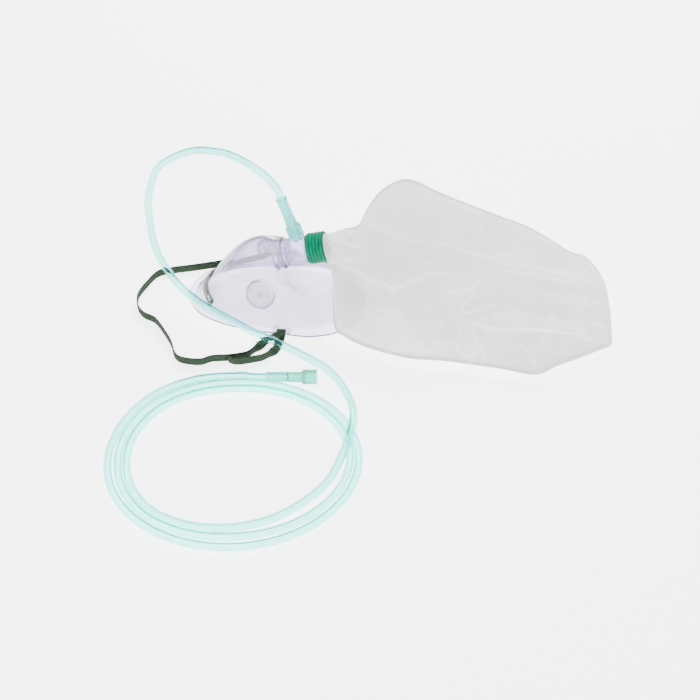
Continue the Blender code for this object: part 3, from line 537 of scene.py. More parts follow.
def outline_point(around, inset):
    """A point on the flange, around as a share of a turn from the chin."""
    place = around * len(WHOLE_OUTLINE)
    point = smooth_point(WHOLE_OUTLINE, place, closed=True)
    along = smooth_point(WHOLE_OUTLINE, place + 0.05, closed=True)
    along -= smooth_point(WHOLE_OUTLINE, place - 0.05, closed=True)
    return point + inset * Vector((-along.y, along.x, 0.0)).normalized()


def port_point(around, radius, out):
    """A point on a circle about the port's axis, out beyond the rim."""
    turn = math.tau * around
    spoke = -math.cos(turn) * PORT_UP + Vector((0.0, math.sin(turn), 0.0))
    return PORT_RIM + out * PORT_AXIS + radius * spoke


def shell_point(around, rise, grow=0.0):
    """A point on the shell's inner face between foot and port, or grow outside it."""
    turn = math.tau * around
    foot = outline_point(around, FLANGE_WIDTH + FOOT) + Vector((0.0, 0.0, FOOT))
    top = port_point(around, PORT_BORE / 2, -PORT_NECK)
    nose, chin = max(0.0, -math.cos(turn)), max(0.0, math.cos(turn))
    side = 1.0 - max(nose, chin)
    lean = math.radians(NOSE_LEAN * nose + CHIN_LEAN * chin + SIDE_LEAN * side)
    inward = (outline_point(around, FLANGE_WIDTH) - outline_point(around, 0.0)).normalized()
    leave = math.cos(lean) * inward + Vector((0.0, 0.0, math.sin(lean)))
    to_centre = (port_point(around, 0.0, -PORT_NECK) - top).normalized()
    along = 0.20 - 0.65 * math.cos(turn) * (1.0 if nose else 0.75)
    arrive = (along * PORT_AXIS + (1.0 - abs(along)) * to_centre).normalized()
    reach = FULLNESS * (top - foot).length
    square, cube = rise * rise, rise**3
    point = (2 * cube - 3 * square + 1) * foot + (cube - 2 * square + rise) * reach * leave
    point += (3 * square - 2 * cube) * top + (cube - square) * reach * arrive
    if grow:
        point += grow * shell_normal(around, rise)
    return point


def shell_normal(around, rise):
    """The way out of the shell at one of its points."""
    step = 0.004
    across = shell_point(around + step, rise) - shell_point(around - step, rise)
    up = shell_point(around, min(1.0, rise + step)) - shell_point(around, max(0.0, rise - step))
    return across.cross(up).normalized()


def shell_rings(steps, rows):
    """Rings of the shell's skin: along the inner face and back along the outer."""
    share = [step / steps for step in range(steps)]
    rises = [row / rows for row in range(rows + 1)]
    inner, outer = PORT_BORE / 2, PORT_BORE / 2 + GAUGE
    ease = GAUGE / 3

    def flat(*places):
        rings = []
        for inset, height in places:
            up = Vector((0.0, 0.0, height))
            rings.append([outline_point(around, inset) + up for around in share])
        return rings

    rings = flat((0.0, ease), (0.3 * ease, 0.3 * ease), (ease, 0.0), (0.5 * FLANGE_WIDTH, 0.0),
                 (0.9 * FLANGE_WIDTH, 0.0))
    rings += [[shell_point(around, rise) for around in share] for rise in rises]
    neck = [
        (inner, -0.6 * PORT_NECK), (inner, -0.3 * PORT_NECK), (inner, -ease),
        (inner + 0.3 * ease, -0.3 * ease), (inner + ease, 0.0), (outer + 0.5 * BEAD, 0.0),
    ]
    for step in range(1, 8):
        turn = math.pi * step / 8
        bulge = outer + 0.4 * BEAD + 0.7 * BEAD * math.sin(turn)
        neck.append((bulge, -0.9 * BEAD * (1 - math.cos(turn))))
    neck += [(outer + 0.1 * BEAD, -2.0 * BEAD), (outer, -2.4 * BEAD), (outer, -0.6 * PORT_NECK)]
    rings += [[port_point(around, radius, out) for around in share] for radius, out in neck]
    root = []
    for around in share:
        lift = GAUGE * max(0.0, shell_normal(around, 1.0).dot(PORT_AXIS))
        root.append(port_point(around, outer, lift - PORT_NECK))
    rings.append(root)
    rings += [[shell_point(around, rise, GAUGE) for around in share] for rise in reversed(rises[:-1])]
    rings += flat((0.9 * FLANGE_WIDTH - FOOT, GAUGE), (0.5 * FLANGE_WIDTH, GAUGE), (ease, GAUGE),
                  (0.3 * ease, GAUGE - 0.3 * ease), (0.0, GAUGE - ease))
    return rings


def solid(mesh, matrix):
    """A loose object for a cutter or a piece to join, in the mask's frame."""
    thing = bpy.data.objects.new("tool", mesh)
    bpy.context.scene.collection.objects.link(thing)
    thing.matrix_world = matrix
    return thing


def worked(mesh, steps, sharp):
    """The mesh after these cuts and joins, each of which is a mode and a tool's object."""
    thing = solid(mesh, STILL)
    for mode, tool in steps:
        change = thing.modifiers.new("change", "BOOLEAN")
        change.operation = mode
        change.object = tool
    graph = bpy.context.evaluated_depsgraph_get()
    made = bpy.data.meshes.new_from_object(thing.evaluated_get(graph))
    for used in (thing, *(tool for mode, tool in steps)):
        bpy.data.objects.remove(used, do_unlink=True)
    made.materials.clear()
    made.shade_smooth()
    made.set_sharp_from_angle(angle=math.radians(sharp))
    return made


def rod(radius, start, end, steps=32):
    """A plain round bar on the Z axis."""
    rings = [[Vector((*spot, level)) for spot in circle(radius, steps)] for level in (start, end)]
    return skin(rings, capped=True)


def oblong(length, width, height, steps=32):
    """A plate with round ends, along the X axis."""
    rings = []
    for level in (-height / 2, height / 2):
        ring = []
        for step in range(steps):
            turn = math.tau * (step + 0.5) / steps
            shift = math.copysign((length - width) / 2, math.cos(turn))
            ring.append(Vector((shift + width / 2 * math.cos(turn), width / 2 * math.sin(turn), level)))
        rings.append(ring)
    return skin(rings, capped=True)


def vents(matrix, height):
    """Round holes in a ring about a stem, as cuts."""
    holes = []
    for number in range(VENTS):
        turn = math.tau * (number + 0.13) / VENTS
        spot = Matrix.Translation((VENT_RING * math.cos(turn), VENT_RING * math.sin(turn), height))
        holes.append(("DIFFERENCE", solid(rod(VENT_RADIUS, -0.0045, 0.0015), matrix @ spot)))
    return holes


def valve_matrix(side):
    """The place of a valve's seat on the shell, Z pointing out."""
    around = side * VALVE_ROUND
    point = shell_point(around, VALVE_RISE, GAUGE + SEAT_HEIGHT)
    return facing(point, shell_normal(around, VALVE_RISE), (1.0, 0.0, 0.0))


def seat_mesh():
    """A flat disc with a raised ring at its edge, a low ring inside it and a skirt below."""
    radius, deep = VALVE_SEAT / 2, 2.6 * SEAT_HEIGHT + GAUGE
    return turned(rounded((
        (SEAT_HOLE, 0.0, 0.0), (0.0104, 0.0, 0.0001), (0.0107, 0.0004, 0.0001),
        (radius - 0.0004, 0.0004, 0.0003), (radius, -0.0002, 0.0003), (radius, -deep, 0.0002),
        (radius - GAUGE, -deep, 0.0002), (radius - GAUGE, -GAUGE, 0.0004), (SEAT_HOLE, -GAUGE, 0.0),
    )), STILL, steps=96)


def clip_place(along, lift):
    """A point of the nose clip's middle line, along from -1 to 1, and the shell's normal there."""
    around = 0.5 + CLIP_SPREAD * along
    rise = CLIP_RISE - CLIP_DROP * along * along
    return shell_point(around, rise, lift), shell_normal(around, rise)


def pin_matrix(side):
    """The place of one of the clip's pins, X running along the clip and Z pointing out."""
    point, outward = clip_place(PIN_AT * side, GAUGE)
    ahead = clip_place(PIN_AHEAD * side, GAUGE)[0]
    return facing(point, outward, ahead - point)


def ear_bar():
    """How far from the middle line the outer side of an ear's slot lies."""
    half = [outline_point(step / 400, 0.0) for step in range(201)]
    beside = min(half, key=lambda point: abs(point.x - EAR_AT))
    return beside.y + EAR_OVERHANG - EAR_BAR


BAR_AT = ear_bar()
EAR_HEIGHT = EAR_LIFT + EAR_SHEET / 2

changes = []
for side in (-1, 1):
    place = valve_matrix(side)
    bore = rod(VALVE_SEAT / 2 - GAUGE / 2, -0.018, 0.018, 96)
    seat = worked(seat_mesh(), vents(STILL, 0.0), 35)
    notch_place = Matrix.Translation((EAR_AT, side * (BAR_AT + 0.0025), 0.0))
    ear_place = Matrix.Translation((EAR_AT, side * (BAR_AT + EAR_BAR - EAR_WIDTH / 2), EAR_HEIGHT))
    slot_place = Matrix.Translation((EAR_AT, side * (BAR_AT - SLOT_WIDTH / 2), EAR_HEIGHT))
    changes += [
        ("DIFFERENCE", solid(bore, place)),
        ("UNION", solid(seat, place)),
        ("DIFFERENCE", solid(oblong(NOTCH_LENGTH, NOTCH_WIDTH, 2 * EAR_LIFT - GAP), notch_place)),
        ("UNION", solid(oblong(EAR_LENGTH, EAR_WIDTH, EAR_SHEET), ear_place)),
        ("DIFFERENCE", solid(oblong(SLOT_LENGTH, SLOT_WIDTH, 0.01), slot_place)),
        ("UNION", solid(rod(PIN_RADIUS, -GAUGE / 2, PIN_TOP), pin_matrix(side))),
    ]
shell = worked(skin(shell_rings(192, 44), looped=True), changes, 40)
shell.transform(MASK_MATRIX)
clear_vinyl = clear_plastic(
    "clear_vinyl", tint=(0.58, 0.53, 0.74), density=560.0, shade=(0.965, 0.955, 0.98),
    edge=(0.035, 0.028, 0.042), clear=0.90, rough=0.07, waves=0.10, cells=60.0,
)
dark_edge = clear_plastic(
    "vinyl_edge", tint=(0.62, 0.57, 0.73), density=980.0, shade=(0.13, 0.09, 0.22),
    edge=(0.08, 0.06, 0.14), clear=0.35, rough=0.20, waves=0.10, cells=60.0,
)
add_piece("mask_shell", shell, clear_vinyl, "mask_shell", shadow=False)
shell.materials.append(dark_edge)
rim = [MASK_MATRIX @ outline_point(step / OUTLINE_STEPS, 0.0) for step in range(OUTLINE_STEPS)]
for face in shell.polygons:
    spot = Vector((face.center.x, face.center.y, 0.0))
    if face.center.z < GAUGE and min((spot - point).length for point in rim) < DARK_EDGE:
        face.material_index = 1

# Exhalation flaps
# Two thin milky silicone discs, each held to its seat by a moulded stem and button.

FLAP = 0.01025          # radii
INNER_FLAP = 0.0080
FLAP_SHEET = 0.0007
STEM = 0.0011
BUTTON = 0.0020
BUTTON_HEIGHT = 0.0009


def flap_mesh(radius, matrix):
    """A disc with a ring moulded on it, a dome over its stem and a button behind the seat."""
    face, back, top = GAP, -GAUGE - GAP, GAP + FLAP_SHEET
    return turned(rounded((
        (0.0, top + BUTTON_HEIGHT, 0.0), (0.0022, top + BUTTON_HEIGHT, 0.0003), (0.0026, top, 0.0003),
        (0.62 * radius, top, 0.0), (0.64 * radius, face + 1.25 * FLAP_SHEET, 0.0001),
        (0.68 * radius, face + 1.25 * FLAP_SHEET, 0.0001), (0.70 * radius, top, 0.0),
        (radius, face + 0.7 * FLAP_SHEET, 0.0002), (radius, face, 0.0001), (STEM, face, 0.0),
        (STEM, back, 0.0), (BUTTON, back, 0.0003), (BUTTON, back - BUTTON_HEIGHT, 0.0003),
        (0.0, back - BUTTON_HEIGHT, 0.0),
    )), matrix, looped=False)


silicone = clear_plastic(
    "valve_silicone", tint=(0.66, 0.64, 0.75), density=620.0, shade=(0.86, 0.85, 0.89),
    edge=(0.9, 0.9, 0.9), clear=0.74, rough=0.34, waves=0.10, cells=200.0,
)
for side, name in ((-1, "exhalation_flap_near"), (1, "exhalation_flap_far")):
    flap = flap_mesh(FLAP, MASK_MATRIX @ valve_matrix(side))
    add_piece(name, flap, silicone, name, shadow=False)

# Nose clip
# A soft metal strip with eased edges, a groove along each side and a slot at each end, bent
# over the bridge of the nose and held by the shell's two pins.

CLIP_HALF = 0.0032
CLIP_SHEET = 0.001
CLIP_LIFT = GAUGE + GAP + 0.0004        # from the shell's inner face to the strip's middle
CLIP_ROWS = 88
CLIP_SLOT = 0.0060, 0.0022
CLIP_SECTION = (        # in shares of the strip's half width and of its sheet
    (1.0, 0.15), (0.93, 0.40), (0.72, 0.40), (0.64, 0.28), (0.56, 0.40), (0.0, 0.40),
    (-0.56, 0.40), (-0.64, 0.28), (-0.72, 0.40), (-0.93, 0.40), (-1.0, 0.15), (-1.0, -0.15),
    (-0.93, -0.40), (0.0, -0.40), (0.93, -0.40), (1.0, -0.15),
)
METAL_TONES = (0.20, 0.20, 0.16), (0.36, 0.36, 0.30)


def band_ring(middle, across, outward, section):
    """A band's section laid out at one point of its line."""
    return [middle + wide * across + thick * outward for wide, thick in section]


def clip_mesh():
    """The strip along its curve over the nose, its ends rounded and slotted for the pins."""
    rings = []
    for row in range(CLIP_ROWS + 1):
        along = 2 * row / CLIP_ROWS - 1
        middle, outward = clip_place(along, CLIP_LIFT)
        forward = clip_place(along + 0.02, CLIP_LIFT)[0] - clip_place(along - 0.02, CLIP_LIFT)[0]
        across = outward.cross(forward).normalized()
        end = min(1.0, (1 - abs(along)) / 0.045)
        half = CLIP_HALF * math.sqrt(max(0.12, 1 - 0.9 * (1 - end) ** 2))
        section = [(wide * half, thick * CLIP_SHEET) for wide, thick in CLIP_SECTION]
        rings.append(band_ring(middle, across, outward, section))
    slots = [("DIFFERENCE", solid(oblong(*CLIP_SLOT, 0.004), pin_matrix(side))) for side in (-1, 1)]
    return worked(skin(rings, capped=True), slots, 30)


metal = Finish("soft_aluminium")
lengthwise = metal.node("Mapping", {"Vector": metal.place, "Scale": (900.0, 160.0, 900.0)})
brushed = metal.noise(1.0, 5.0, lengthwise.outputs["Vector"])
aluminium = metal.coat({
    "Base Color": metal.shades(metal.noise(220.0, 3.0), METAL_TONES), "Metallic": 0.9,
    "Roughness": metal.spread(brushed, (0.28, 0.55)),
}, brushed, 0.35)
clip = clip_mesh()
clip.transform(MASK_MATRIX)
add_piece("nose_clip", clip, aluminium, "nose_clip")

# Tee and inhalation valve
# A clear moulded tee, pushed into the mask's port: spigot, seat with vents across its bore,
# body with two moulded bands, nipple with barbs for the tube, and a spigot for the bag.

TEE_LENGTH = 0.0198
TEE_DEPTH = 0.0090      # how far its spigot goes into the mask
TEE_WALL = 0.0015
BAG_SPIGOT = 0.0200
BAG_SPIGOT_LENGTH = 0.0165
SEAT_AT = 0.0040
NIPPLE_REACH = 0.0100
NIPPLE_BORE = 0.0013    # radius


def tee_mesh():
    """The body, turned round the port's axis, with the barbed nipple joined on and bored."""
    spigot, bore = PORT_BORE / 2 - GAP, PORT_BORE / 2 - GAP - TEE_WALL
    body, bag, end = TEE_BODY / 2, BAG_SPIGOT / 2, TEE_LENGTH + BAG_SPIGOT_LENGTH
    profile = rounded((
        (SEAT_HOLE, SEAT_AT, 0.0), (bore, SEAT_AT, 0.0004), (bore, TEE_LENGTH - TEE_WALL, 0.0),
        (bag - TEE_WALL, TEE_LENGTH, 0.0), (bag - TEE_WALL, end, 0.0003), (bag, end, 0.0004),
        (bag, TEE_LENGTH, 0.0002), (body, TEE_LENGTH, 0.0004), (body, TEE_LENGTH - 0.0016, 0.0001),
        (body - 0.0004, TEE_LENGTH - 0.0019, 0.0001), (body - 0.0004, 0.0022, 0.0001),
        (body, 0.0019, 0.0001), (body, GAP, 0.0004), (spigot, GAP, 0.0),
        (spigot - 0.0002, -TEE_DEPTH, 0.0004), (bore, -TEE_DEPTH, 0.0003),
        (bore, SEAT_AT - GAUGE, 0.0004), (SEAT_HOLE, SEAT_AT - GAUGE, 0.0),
    ))
    top, root = body + NIPPLE_REACH, (bore + body) / 2 - 0.0002
    nipple = facing((0.0, 0.0, NIPPLE_AT), nipple_axis(), (0.0, 0.0, 1.0))
    barb = turned(rounded((
        (0.0, top, 0.0), (0.0024, top, 0.0003), (0.0031, top - 0.0028, 0.0001),
        (0.0027, top - 0.0028, 0.0), (0.0031, top - 0.0056, 0.0001), (0.0027, top - 0.0056, 0.0),
        (0.0029, body + 0.0012, 0.0), (0.0044, body - 0.0004, 0.0006), (0.0044, root, 0.0),
        (0.0, root, 0.0),
    )), STILL, steps=48, looped=False)
    steps = [
        ("UNION", solid(barb, nipple)),
        ("DIFFERENCE", solid(rod(NIPPLE_BORE, bore / 2, 1.5 * top), nipple)),
    ]
    steps += vents(STILL, SEAT_AT)
    return worked(turned(profile, STILL, steps=96), steps, 35)


tee = tee_mesh()
tee.transform(PORT_MATRIX)
clear_tee = clear_plastic(
    "clear_tee", tint=(0.66, 0.60, 0.88), density=340.0, shade=(0.97, 0.965, 0.985),
    edge=(0.20, 0.17, 0.28), clear=0.88, rough=0.14, waves=0.08, cells=90.0,
)
add_piece("tee_connector", tee, clear_tee, "tee_connector", shadow=False)
seat_back = Matrix.Translation((0.0, 0.0, SEAT_AT - GAUGE)) @ Matrix.Rotation(math.pi, 4, "X")
disc = flap_mesh(INNER_FLAP, PORT_MATRIX @ seat_back)
add_piece("check_valve_disc", disc, silicone, "check_valve_disc")

# Bag collar
# A green moulded ring with five rounded ribs round it and fine grip lines along it; painted
# shade darkens the hollows between the ribs.

COLLAR_AT = 0.0206
COLLAR_LENGTH = 0.0150
COLLAR_ROOM = 0.0011    # between the tee's spigot and the ring, for the neck of the bag
COLLAR_WALL = 0.0014
COLLAR_SIDES = 240
RIBS, RIB_HEIGHT = 5, 0.0005
GRIPS, GRIP_DEPTH = 60, 0.00010
GREEN_TONES = (0.0, 0.17, 0.085), (0.0, 0.215, 0.108)
# darker green painted in the hollows between the ribs, as shade
GREEN_PAINTED_SHADE_BETWEEN_RIBS = (0.0, 0.115, 0.056, 1.0)


def collar_mesh():
    """The ring, turned with its ribs, its outside fluted, and marked with how high the ribs are, for the
    painted shade between them.
    """
    inner = BAG_SPIGOT / 2 + COLLAR_ROOM
    outer = inner + COLLAR_WALL
    start, end = COLLAR_AT, COLLAR_AT + COLLAR_LENGTH
    profile = [(inner, end - 0.0003), (inner + 0.0003, end)]
    profile += [(outer - 0.0004, end), (outer, end - 0.0004)]
    for step in range(1, 96):
        share = step / 96
        height = end - 0.0004 - (COLLAR_LENGTH - 0.0008) * share
        rib = max(0.0, math.sin(math.tau * (RIBS * share - 0.25)) * 0.5 + 0.5) ** 0.7
        profile.append((outer + RIB_HEIGHT * rib, height))
    profile += [(outer, start + 0.0004), (outer - 0.0004, start)]
    profile += [(inner + 0.0003, start), (inner, start + 0.0003)]
    rings = []
    for radius, height in profile:
        ring = []
        for step in range(COLLAR_SIDES):
            turn = math.tau * step / COLLAR_SIDES
            outside = radius > outer - 0.0001
            reach = radius - GRIP_DEPTH * abs(math.sin(GRIPS * turn / 2)) if outside else radius
            spot = Vector((reach * math.cos(turn), reach * math.sin(turn), height))
            ring.append(PORT_MATRIX @ spot)
        rings.append(ring)
    ribs = [(radius - outer) / RIB_HEIGHT for radius, _ in profile for _ in range(COLLAR_SIDES)]
    return skin(rings, looped=True, sharp=50, marks={"rib": ribs})


moulded = Finish("green_collar")
grain = moulded.noise(2400.0, 2.0)
tone = moulded.shades(moulded.noise(260.0, 4.0), GREEN_TONES, (0.32, 0.68))
green = moulded.coat({
    # painted shade: the green darkens where the ribs are low
    "Base Color": moulded.mix(moulded.mark("rib"), GREEN_PAINTED_SHADE_BETWEEN_RIBS, tone),
    "Roughness": moulded.spread(grain, (0.3, 0.5)), "Specular IOR Level": 0.05,
}, grain, 0.3)
add_piece("bag_collar", collar_mesh(), green, "bag_collar")

# Reservoir bag
# A welded frosted film bag, half blown up. It is gathered into the collar, so pleats run out
# from the neck, and long soft creases cross it where the film has buckled. Its crests are drawn
# white and more see-through, partly as stress-whitened film and partly as painted highlight.

BAG_STATIONS = (        # the near and the far seam and half the height, from neck to foot
    ((-0.032, -0.014, 0.050), (-0.022, 0.030, 0.066), 0.0115),
    ((-0.031, -0.031, 0.014), (-0.011, 0.023, 0.076), 0.0120),
    ((-0.022, -0.041, 0.010), (-0.004, 0.034, 0.084), 0.0150),
    ((-0.007, -0.050, 0.008), (0.007, 0.052, 0.088), 0.0185),
    ((0.010, -0.058, 0.008), (0.021, 0.066, 0.088), 0.0215),
    ((0.031, -0.066, 0.009), (0.035, 0.072, 0.084), 0.0240),
    ((0.059, -0.069, 0.009), (0.063, 0.081, 0.062), 0.0225),
    ((0.102, -0.078, 0.009), (0.109, 0.074, 0.045), 0.0185),
    ((0.130, -0.084, 0.008), (0.132, 0.072, 0.036), 0.0150),
    ((0.147, -0.074, 0.008), (0.152, 0.068, 0.025), 0.0120),
    ((0.163, -0.066, 0.008), (0.169, 0.061, 0.017), 0.0095),
    ((0.181, -0.055, 0.007), (0.184, 0.060, 0.011), 0.0075),
    ((0.194, -0.046, 0.006), (0.196, 0.034, 0.008), 0.0050),
    ((0.196, -0.033, 0.005), (0.198, -0.003, 0.006), 0.0035),
)
MASK_ALONG = MASK_MATRIX.to_3x3() @ Vector((1.0, 0.0, 0.0))
SEAM = 0.0030
NECK_ROOM = 0.0006      # between the tee's spigot and the film
NECK_AT = 0.0212, 0.0250, 0.0300, 0.0340, 0.0356
GATHER_AT, GATHER_RADIUS = 0.036, 0.0105        # where the film leaves the collar
SWELL, SWELL_CELLS = 0.0011, 34.0               # soft swells of the film, and how many to a metre
BUCKLE, BUCKLE_CELLS = 0.0005, 55.0             # its sharper ridges
CRINKLE, CRINKLE_CELLS = 0.00028, 210.0         # its fine unevenness
PLEATS, PLEAT_HEIGHT, PLEAT_REACH = 17, 0.0009, 0.016
WHITE_LINE = 0.0016     # half the width of a crest's white line, partly stress-whitened film and partly painted highlight
FILM_TONES = (0.78, 0.78, 0.79), (0.87, 0.87, 0.88)
# white of the crests: partly stress-whitened film, partly painted highlight
FILM_CREST_WHITE_AND_HIGHLIGHT = (1.0, 1.0, 1.0, 1.0)
FILM_WELD = (0.65, 0.65, 0.66, 1.0)


def bag_point(place, turn):
    """A point of the smooth bag, place along its stations and turn round its section."""
    near = smooth_point([station[0] for station in BAG_STATIONS], place)
    far = smooth_point([station[1] for station in BAG_STATIONS], place)
    half = smooth_point([(station[2], 0.0, 0.0) for station in BAG_STATIONS], place).x
    middle, reach = (near + far) / 2, (far - near) / 2
    across = reach.normalized()
    upward = MASK_ALONG.cross(across).normalized()
    side = reach.length * math.cos(turn)
    inside = 1.0 - min(1.0, abs(side) / (reach.length - SEAM * min(1.0, place))) ** 2
    bulge = math.copysign(max(0.0, inside) ** 0.68, math.sin(turn)) * half
    bulge += 0.0002 * min(1.0, max(-1.0, 20 * math.sin(turn)))
    return middle + side * across + bulge * upward, upward, inside


def neck_ring(radius, out, steps):
    """A ring of the film on the tee's spigot, its points in step with the bag's."""
    ring = []
    for step in range(steps):
        turn = math.tau * step / steps
        ring.append(PORT_MATRIX @ Vector((radius * math.sin(turn), -radius * math.cos(turn), out)))
    return ring


BAG_CREASES = (         # height, widths to its left and right, and the crest's points, read off
    (0.0017, 0.0016, 0.0050, ((-0.030, -0.004), (-0.016, -0.013), (-0.002, -0.020), (0.010, -0.025),
                              (0.018, -0.030), (0.027, -0.029), (0.037, -0.024), (0.047, -0.017),
                              (0.060, -0.012), (0.076, -0.008))),
    (0.0012, 0.0040, 0.0015, ((-0.012, 0.021), (0.000, 0.016), (0.010, 0.012), (0.020, 0.007))),
    (0.0009, 0.0030, 0.0014, ((0.003, 0.011), (0.014, 0.009), (0.029, 0.005), (0.042, 0.005),
                              (0.054, 0.013))),
    (0.0019, 0.0050, 0.0016, ((0.044, 0.009), (0.065, 0.014), (0.073, 0.011), (0.085, 0.011),
                              (0.097, 0.009), (0.115, 0.018), (0.131, 0.028))),
    (0.0021, 0.0045, 0.0016, ((0.092, 0.010), (0.109, 0.006), (0.134, 0.011), (0.158, 0.018),
                              (0.190, 0.022))),
    (0.0012, 0.0030, 0.0015, ((0.098, 0.000), (0.120, 0.001), (0.146, 0.007), (0.176, 0.013))),
    (0.0022, 0.0016, 0.0055, ((0.062, -0.042), (0.078, -0.048), (0.091, -0.052), (0.104, -0.054),
                              (0.135, -0.050), (0.153, -0.045), (0.182, -0.042))),
    (0.0012, 0.0020, 0.0020, ((0.024, -0.052), (0.029, -0.061), (0.032, -0.064), (0.041, -0.066))),
    (0.0014, 0.0018, 0.0030, ((0.078, -0.050), (0.084, -0.060), (0.083, -0.066), (0.083, -0.071))),
    (0.0011, 0.0018, 0.0018, ((0.095, -0.051), (0.089, -0.060), (0.085, -0.067))),
    (0.0014, 0.0016, 0.0016, ((-0.031, -0.012), (-0.030, -0.022), (-0.029, -0.031))),
    (0.0010, 0.0016, 0.0016, ((-0.021, -0.026), (-0.025, -0.032), (-0.024, -0.038))),
    (0.0018, 0.0014, 0.0030, ((0.166, 0.052), (0.175, 0.036), (0.185, 0.026), (0.193, 0.011))),
    (0.0016, 0.0014, 0.0026, ((0.174, 0.054), (0.186, 0.040), (0.192, 0.024))),
    (0.0014, 0.0014, 0.0030, ((0.158, 0.044), (0.168, 0.034), (0.178, 0.020), (0.186, 0.010))),
    (0.0012, 0.0014, 0.0022, ((0.172, -0.002), (0.186, -0.004), (0.194, -0.010))),
    (0.0015, 0.0015, 0.0026, ((0.162, -0.046), (0.176, -0.048), (0.189, -0.043))),
    (0.0012, 0.0014, 0.0022, ((0.170, -0.028), (0.185, -0.031), (0.193, -0.032))),
    (0.0011, 0.0022, 0.0022, ((0.048, -0.028), (0.059, -0.024), (0.068, -0.027), (0.079, -0.023),
                              (0.087, -0.015), (0.100, -0.004))),
    (0.0013, 0.0015, 0.0024, ((-0.034, 0.011), (-0.022, 0.008), (-0.006, -0.001))),
    (0.0012, 0.0015, 0.0020, ((-0.034, -0.001), (-0.024, -0.003), (-0.010, -0.008))),
    (0.0009, 0.0030, 0.0020, ((0.080, 0.062), (0.090, 0.048), (0.093, 0.032))),
    (0.0012, 0.0020, 0.0028, ((0.123, 0.052), (0.138, 0.052), (0.153, 0.055), (0.163, 0.052))),
    (-0.0030, 0.0060, 0.0060, ((0.106, -0.008), (0.129, -0.009), (0.155, -0.002), (0.183, 0.006))),
    (-0.0042, 0.0090, 0.0090, ((0.080, -0.034), (0.103, -0.036), (0.136, -0.032), (0.176, -0.025))),
    (-0.0014, 0.0050, 0.0050, ((-0.016, -0.021), (-0.004, -0.028), (0.012, -0.034))),
    (0.0030, 0.0180, 0.0180, ((0.014, -0.046), (0.040, -0.044), (0.064, -0.036))),
)


def crease_field(x, y):
    """Height of the film at points of the bag's plan, from all the creases, and how white their crests are:
    partly stress-whitened film, partly painted highlight.
    """
    height, whitening_and_highlight = numpy.zeros_like(x), numpy.zeros_like(x)
    for crest, left, right, points in BAG_CREASES:
        line = even_points([(*point, 0.0) for point in points], 0.003)
        nearest = numpy.full_like(x, 9.0)
        signed, along = numpy.zeros_like(x), numpy.zeros_like(x)
        for number, (start, end) in enumerate(zip(line, line[1:])):
            run = end - start
            share = ((x - start.x) * run.x + (y - start.y) * run.y) / run.length_squared
            share = numpy.clip(share, 0.0, 1.0)
            aside, beyond = x - start.x - share * run.x, y - start.y - share * run.y
            distance = numpy.hypot(aside, beyond)
            closer = distance < nearest
            nearest = numpy.where(closer, distance, nearest)
            signed = numpy.where(closer, run.x * beyond - run.y * aside, signed)
            along = numpy.where(closer, (number + share) / (len(line) - 1), along)
        width = numpy.where(signed > 0, left, right)
        taper = numpy.clip(4 * along, 0.0, 1.0) * numpy.clip(4 * (1 - along), 0.0, 1.0)
        height += crest * (taper * numpy.exp(-((nearest / width) ** 2 + 0.02) ** 0.6))
        if 0 < crest and left < 0.01:
            whitening_and_highlight += crest / 0.002 * taper * numpy.exp(-(nearest / WHITE_LINE) ** 2)
    return height, numpy.clip(whitening_and_highlight, 0.0, 1.0)


def bag_mesh(rows, steps):
    """The bag's film with its creases, pleats and slack, how welded it is, and how white its crests are as
    stress-whitened film and painted highlight.
    """
    last = len(BAG_STATIONS) - 1
    points, upward, inside = [], [], []
    for row in range(rows + 1):
        made = [bag_point(last * row / rows, math.tau * step / steps) for step in range(steps)]
        points.append([tuple(point) for point, _, _ in made])
        upward.append([tuple(made[0][1])] * steps)
        inside.append([share for _, _, share in made])
    points, upward, inside = numpy.array(points), numpy.array(upward), numpy.array(inside)
    turns = numpy.arange(steps) / steps * math.tau
    top = (numpy.sin(turns) > 0)[None, :] * numpy.clip(4 * inside, 0.0, 1.0)
    free = numpy.clip(4 * inside, 0.0, 1.0)
    height, whitening_and_highlight = crease_field(points[..., 0], points[..., 1])
    gather = numpy.array(PORT_MATRIX @ Vector((0.0, 0.0, GATHER_AT)))
    neck = numpy.linalg.norm(points - gather, axis=2) - GATHER_RADIUS
    slack = numpy.zeros_like(inside)
    for row in range(rows + 1):
        for step in range(steps):
            spot = Vector(points[row, step])
            ridge = 1.0 - abs(noise.noise(spot * BUCKLE_CELLS + Vector((3.0, 0.0, 0.0))))
            slack[row, step] = SWELL * noise.noise(spot * SWELL_CELLS) + BUCKLE * (ridge**3 - 0.5)
            slack[row, step] += CRINKLE * noise.noise(spot * CRINKLE_CELLS)
    wander = 0.8 * numpy.sin(3 * turns + 0.4) + 0.5 * numpy.sin(7 * turns)
    pleats = PLEAT_HEIGHT * numpy.cos(PLEATS * turns + wander)[None, :]
    pleats = pleats * numpy.exp(-neck / PLEAT_REACH) * numpy.clip(neck / 0.002, 0.0, 1.0)
    shift = top * height + free * slack * numpy.clip(neck / 0.01, 0.0, 1.0)
    shift = numpy.where((numpy.sin(turns) < 0)[None, :], -0.6 * shift, shift)
    points = points + (shift + pleats * numpy.sign(numpy.sin(turns))[None, :])[..., None] * upward
    points[..., 2] = numpy.maximum(points[..., 2], 0.0004)
    rings = [neck_ring(BAG_SPIGOT / 2 + NECK_ROOM, out, steps) for out in NECK_AT]
    rings += [[Vector(point) for point in ring] for ring in points]
    neck_rows = numpy.zeros((len(NECK_AT), steps))
    return skin(rings, marks={
        "whitening_and_highlight": numpy.concatenate([neck_rows, whitening_and_highlight * top]),
        "weld": numpy.concatenate([neck_rows, 1 - 12 * inside]),
    })


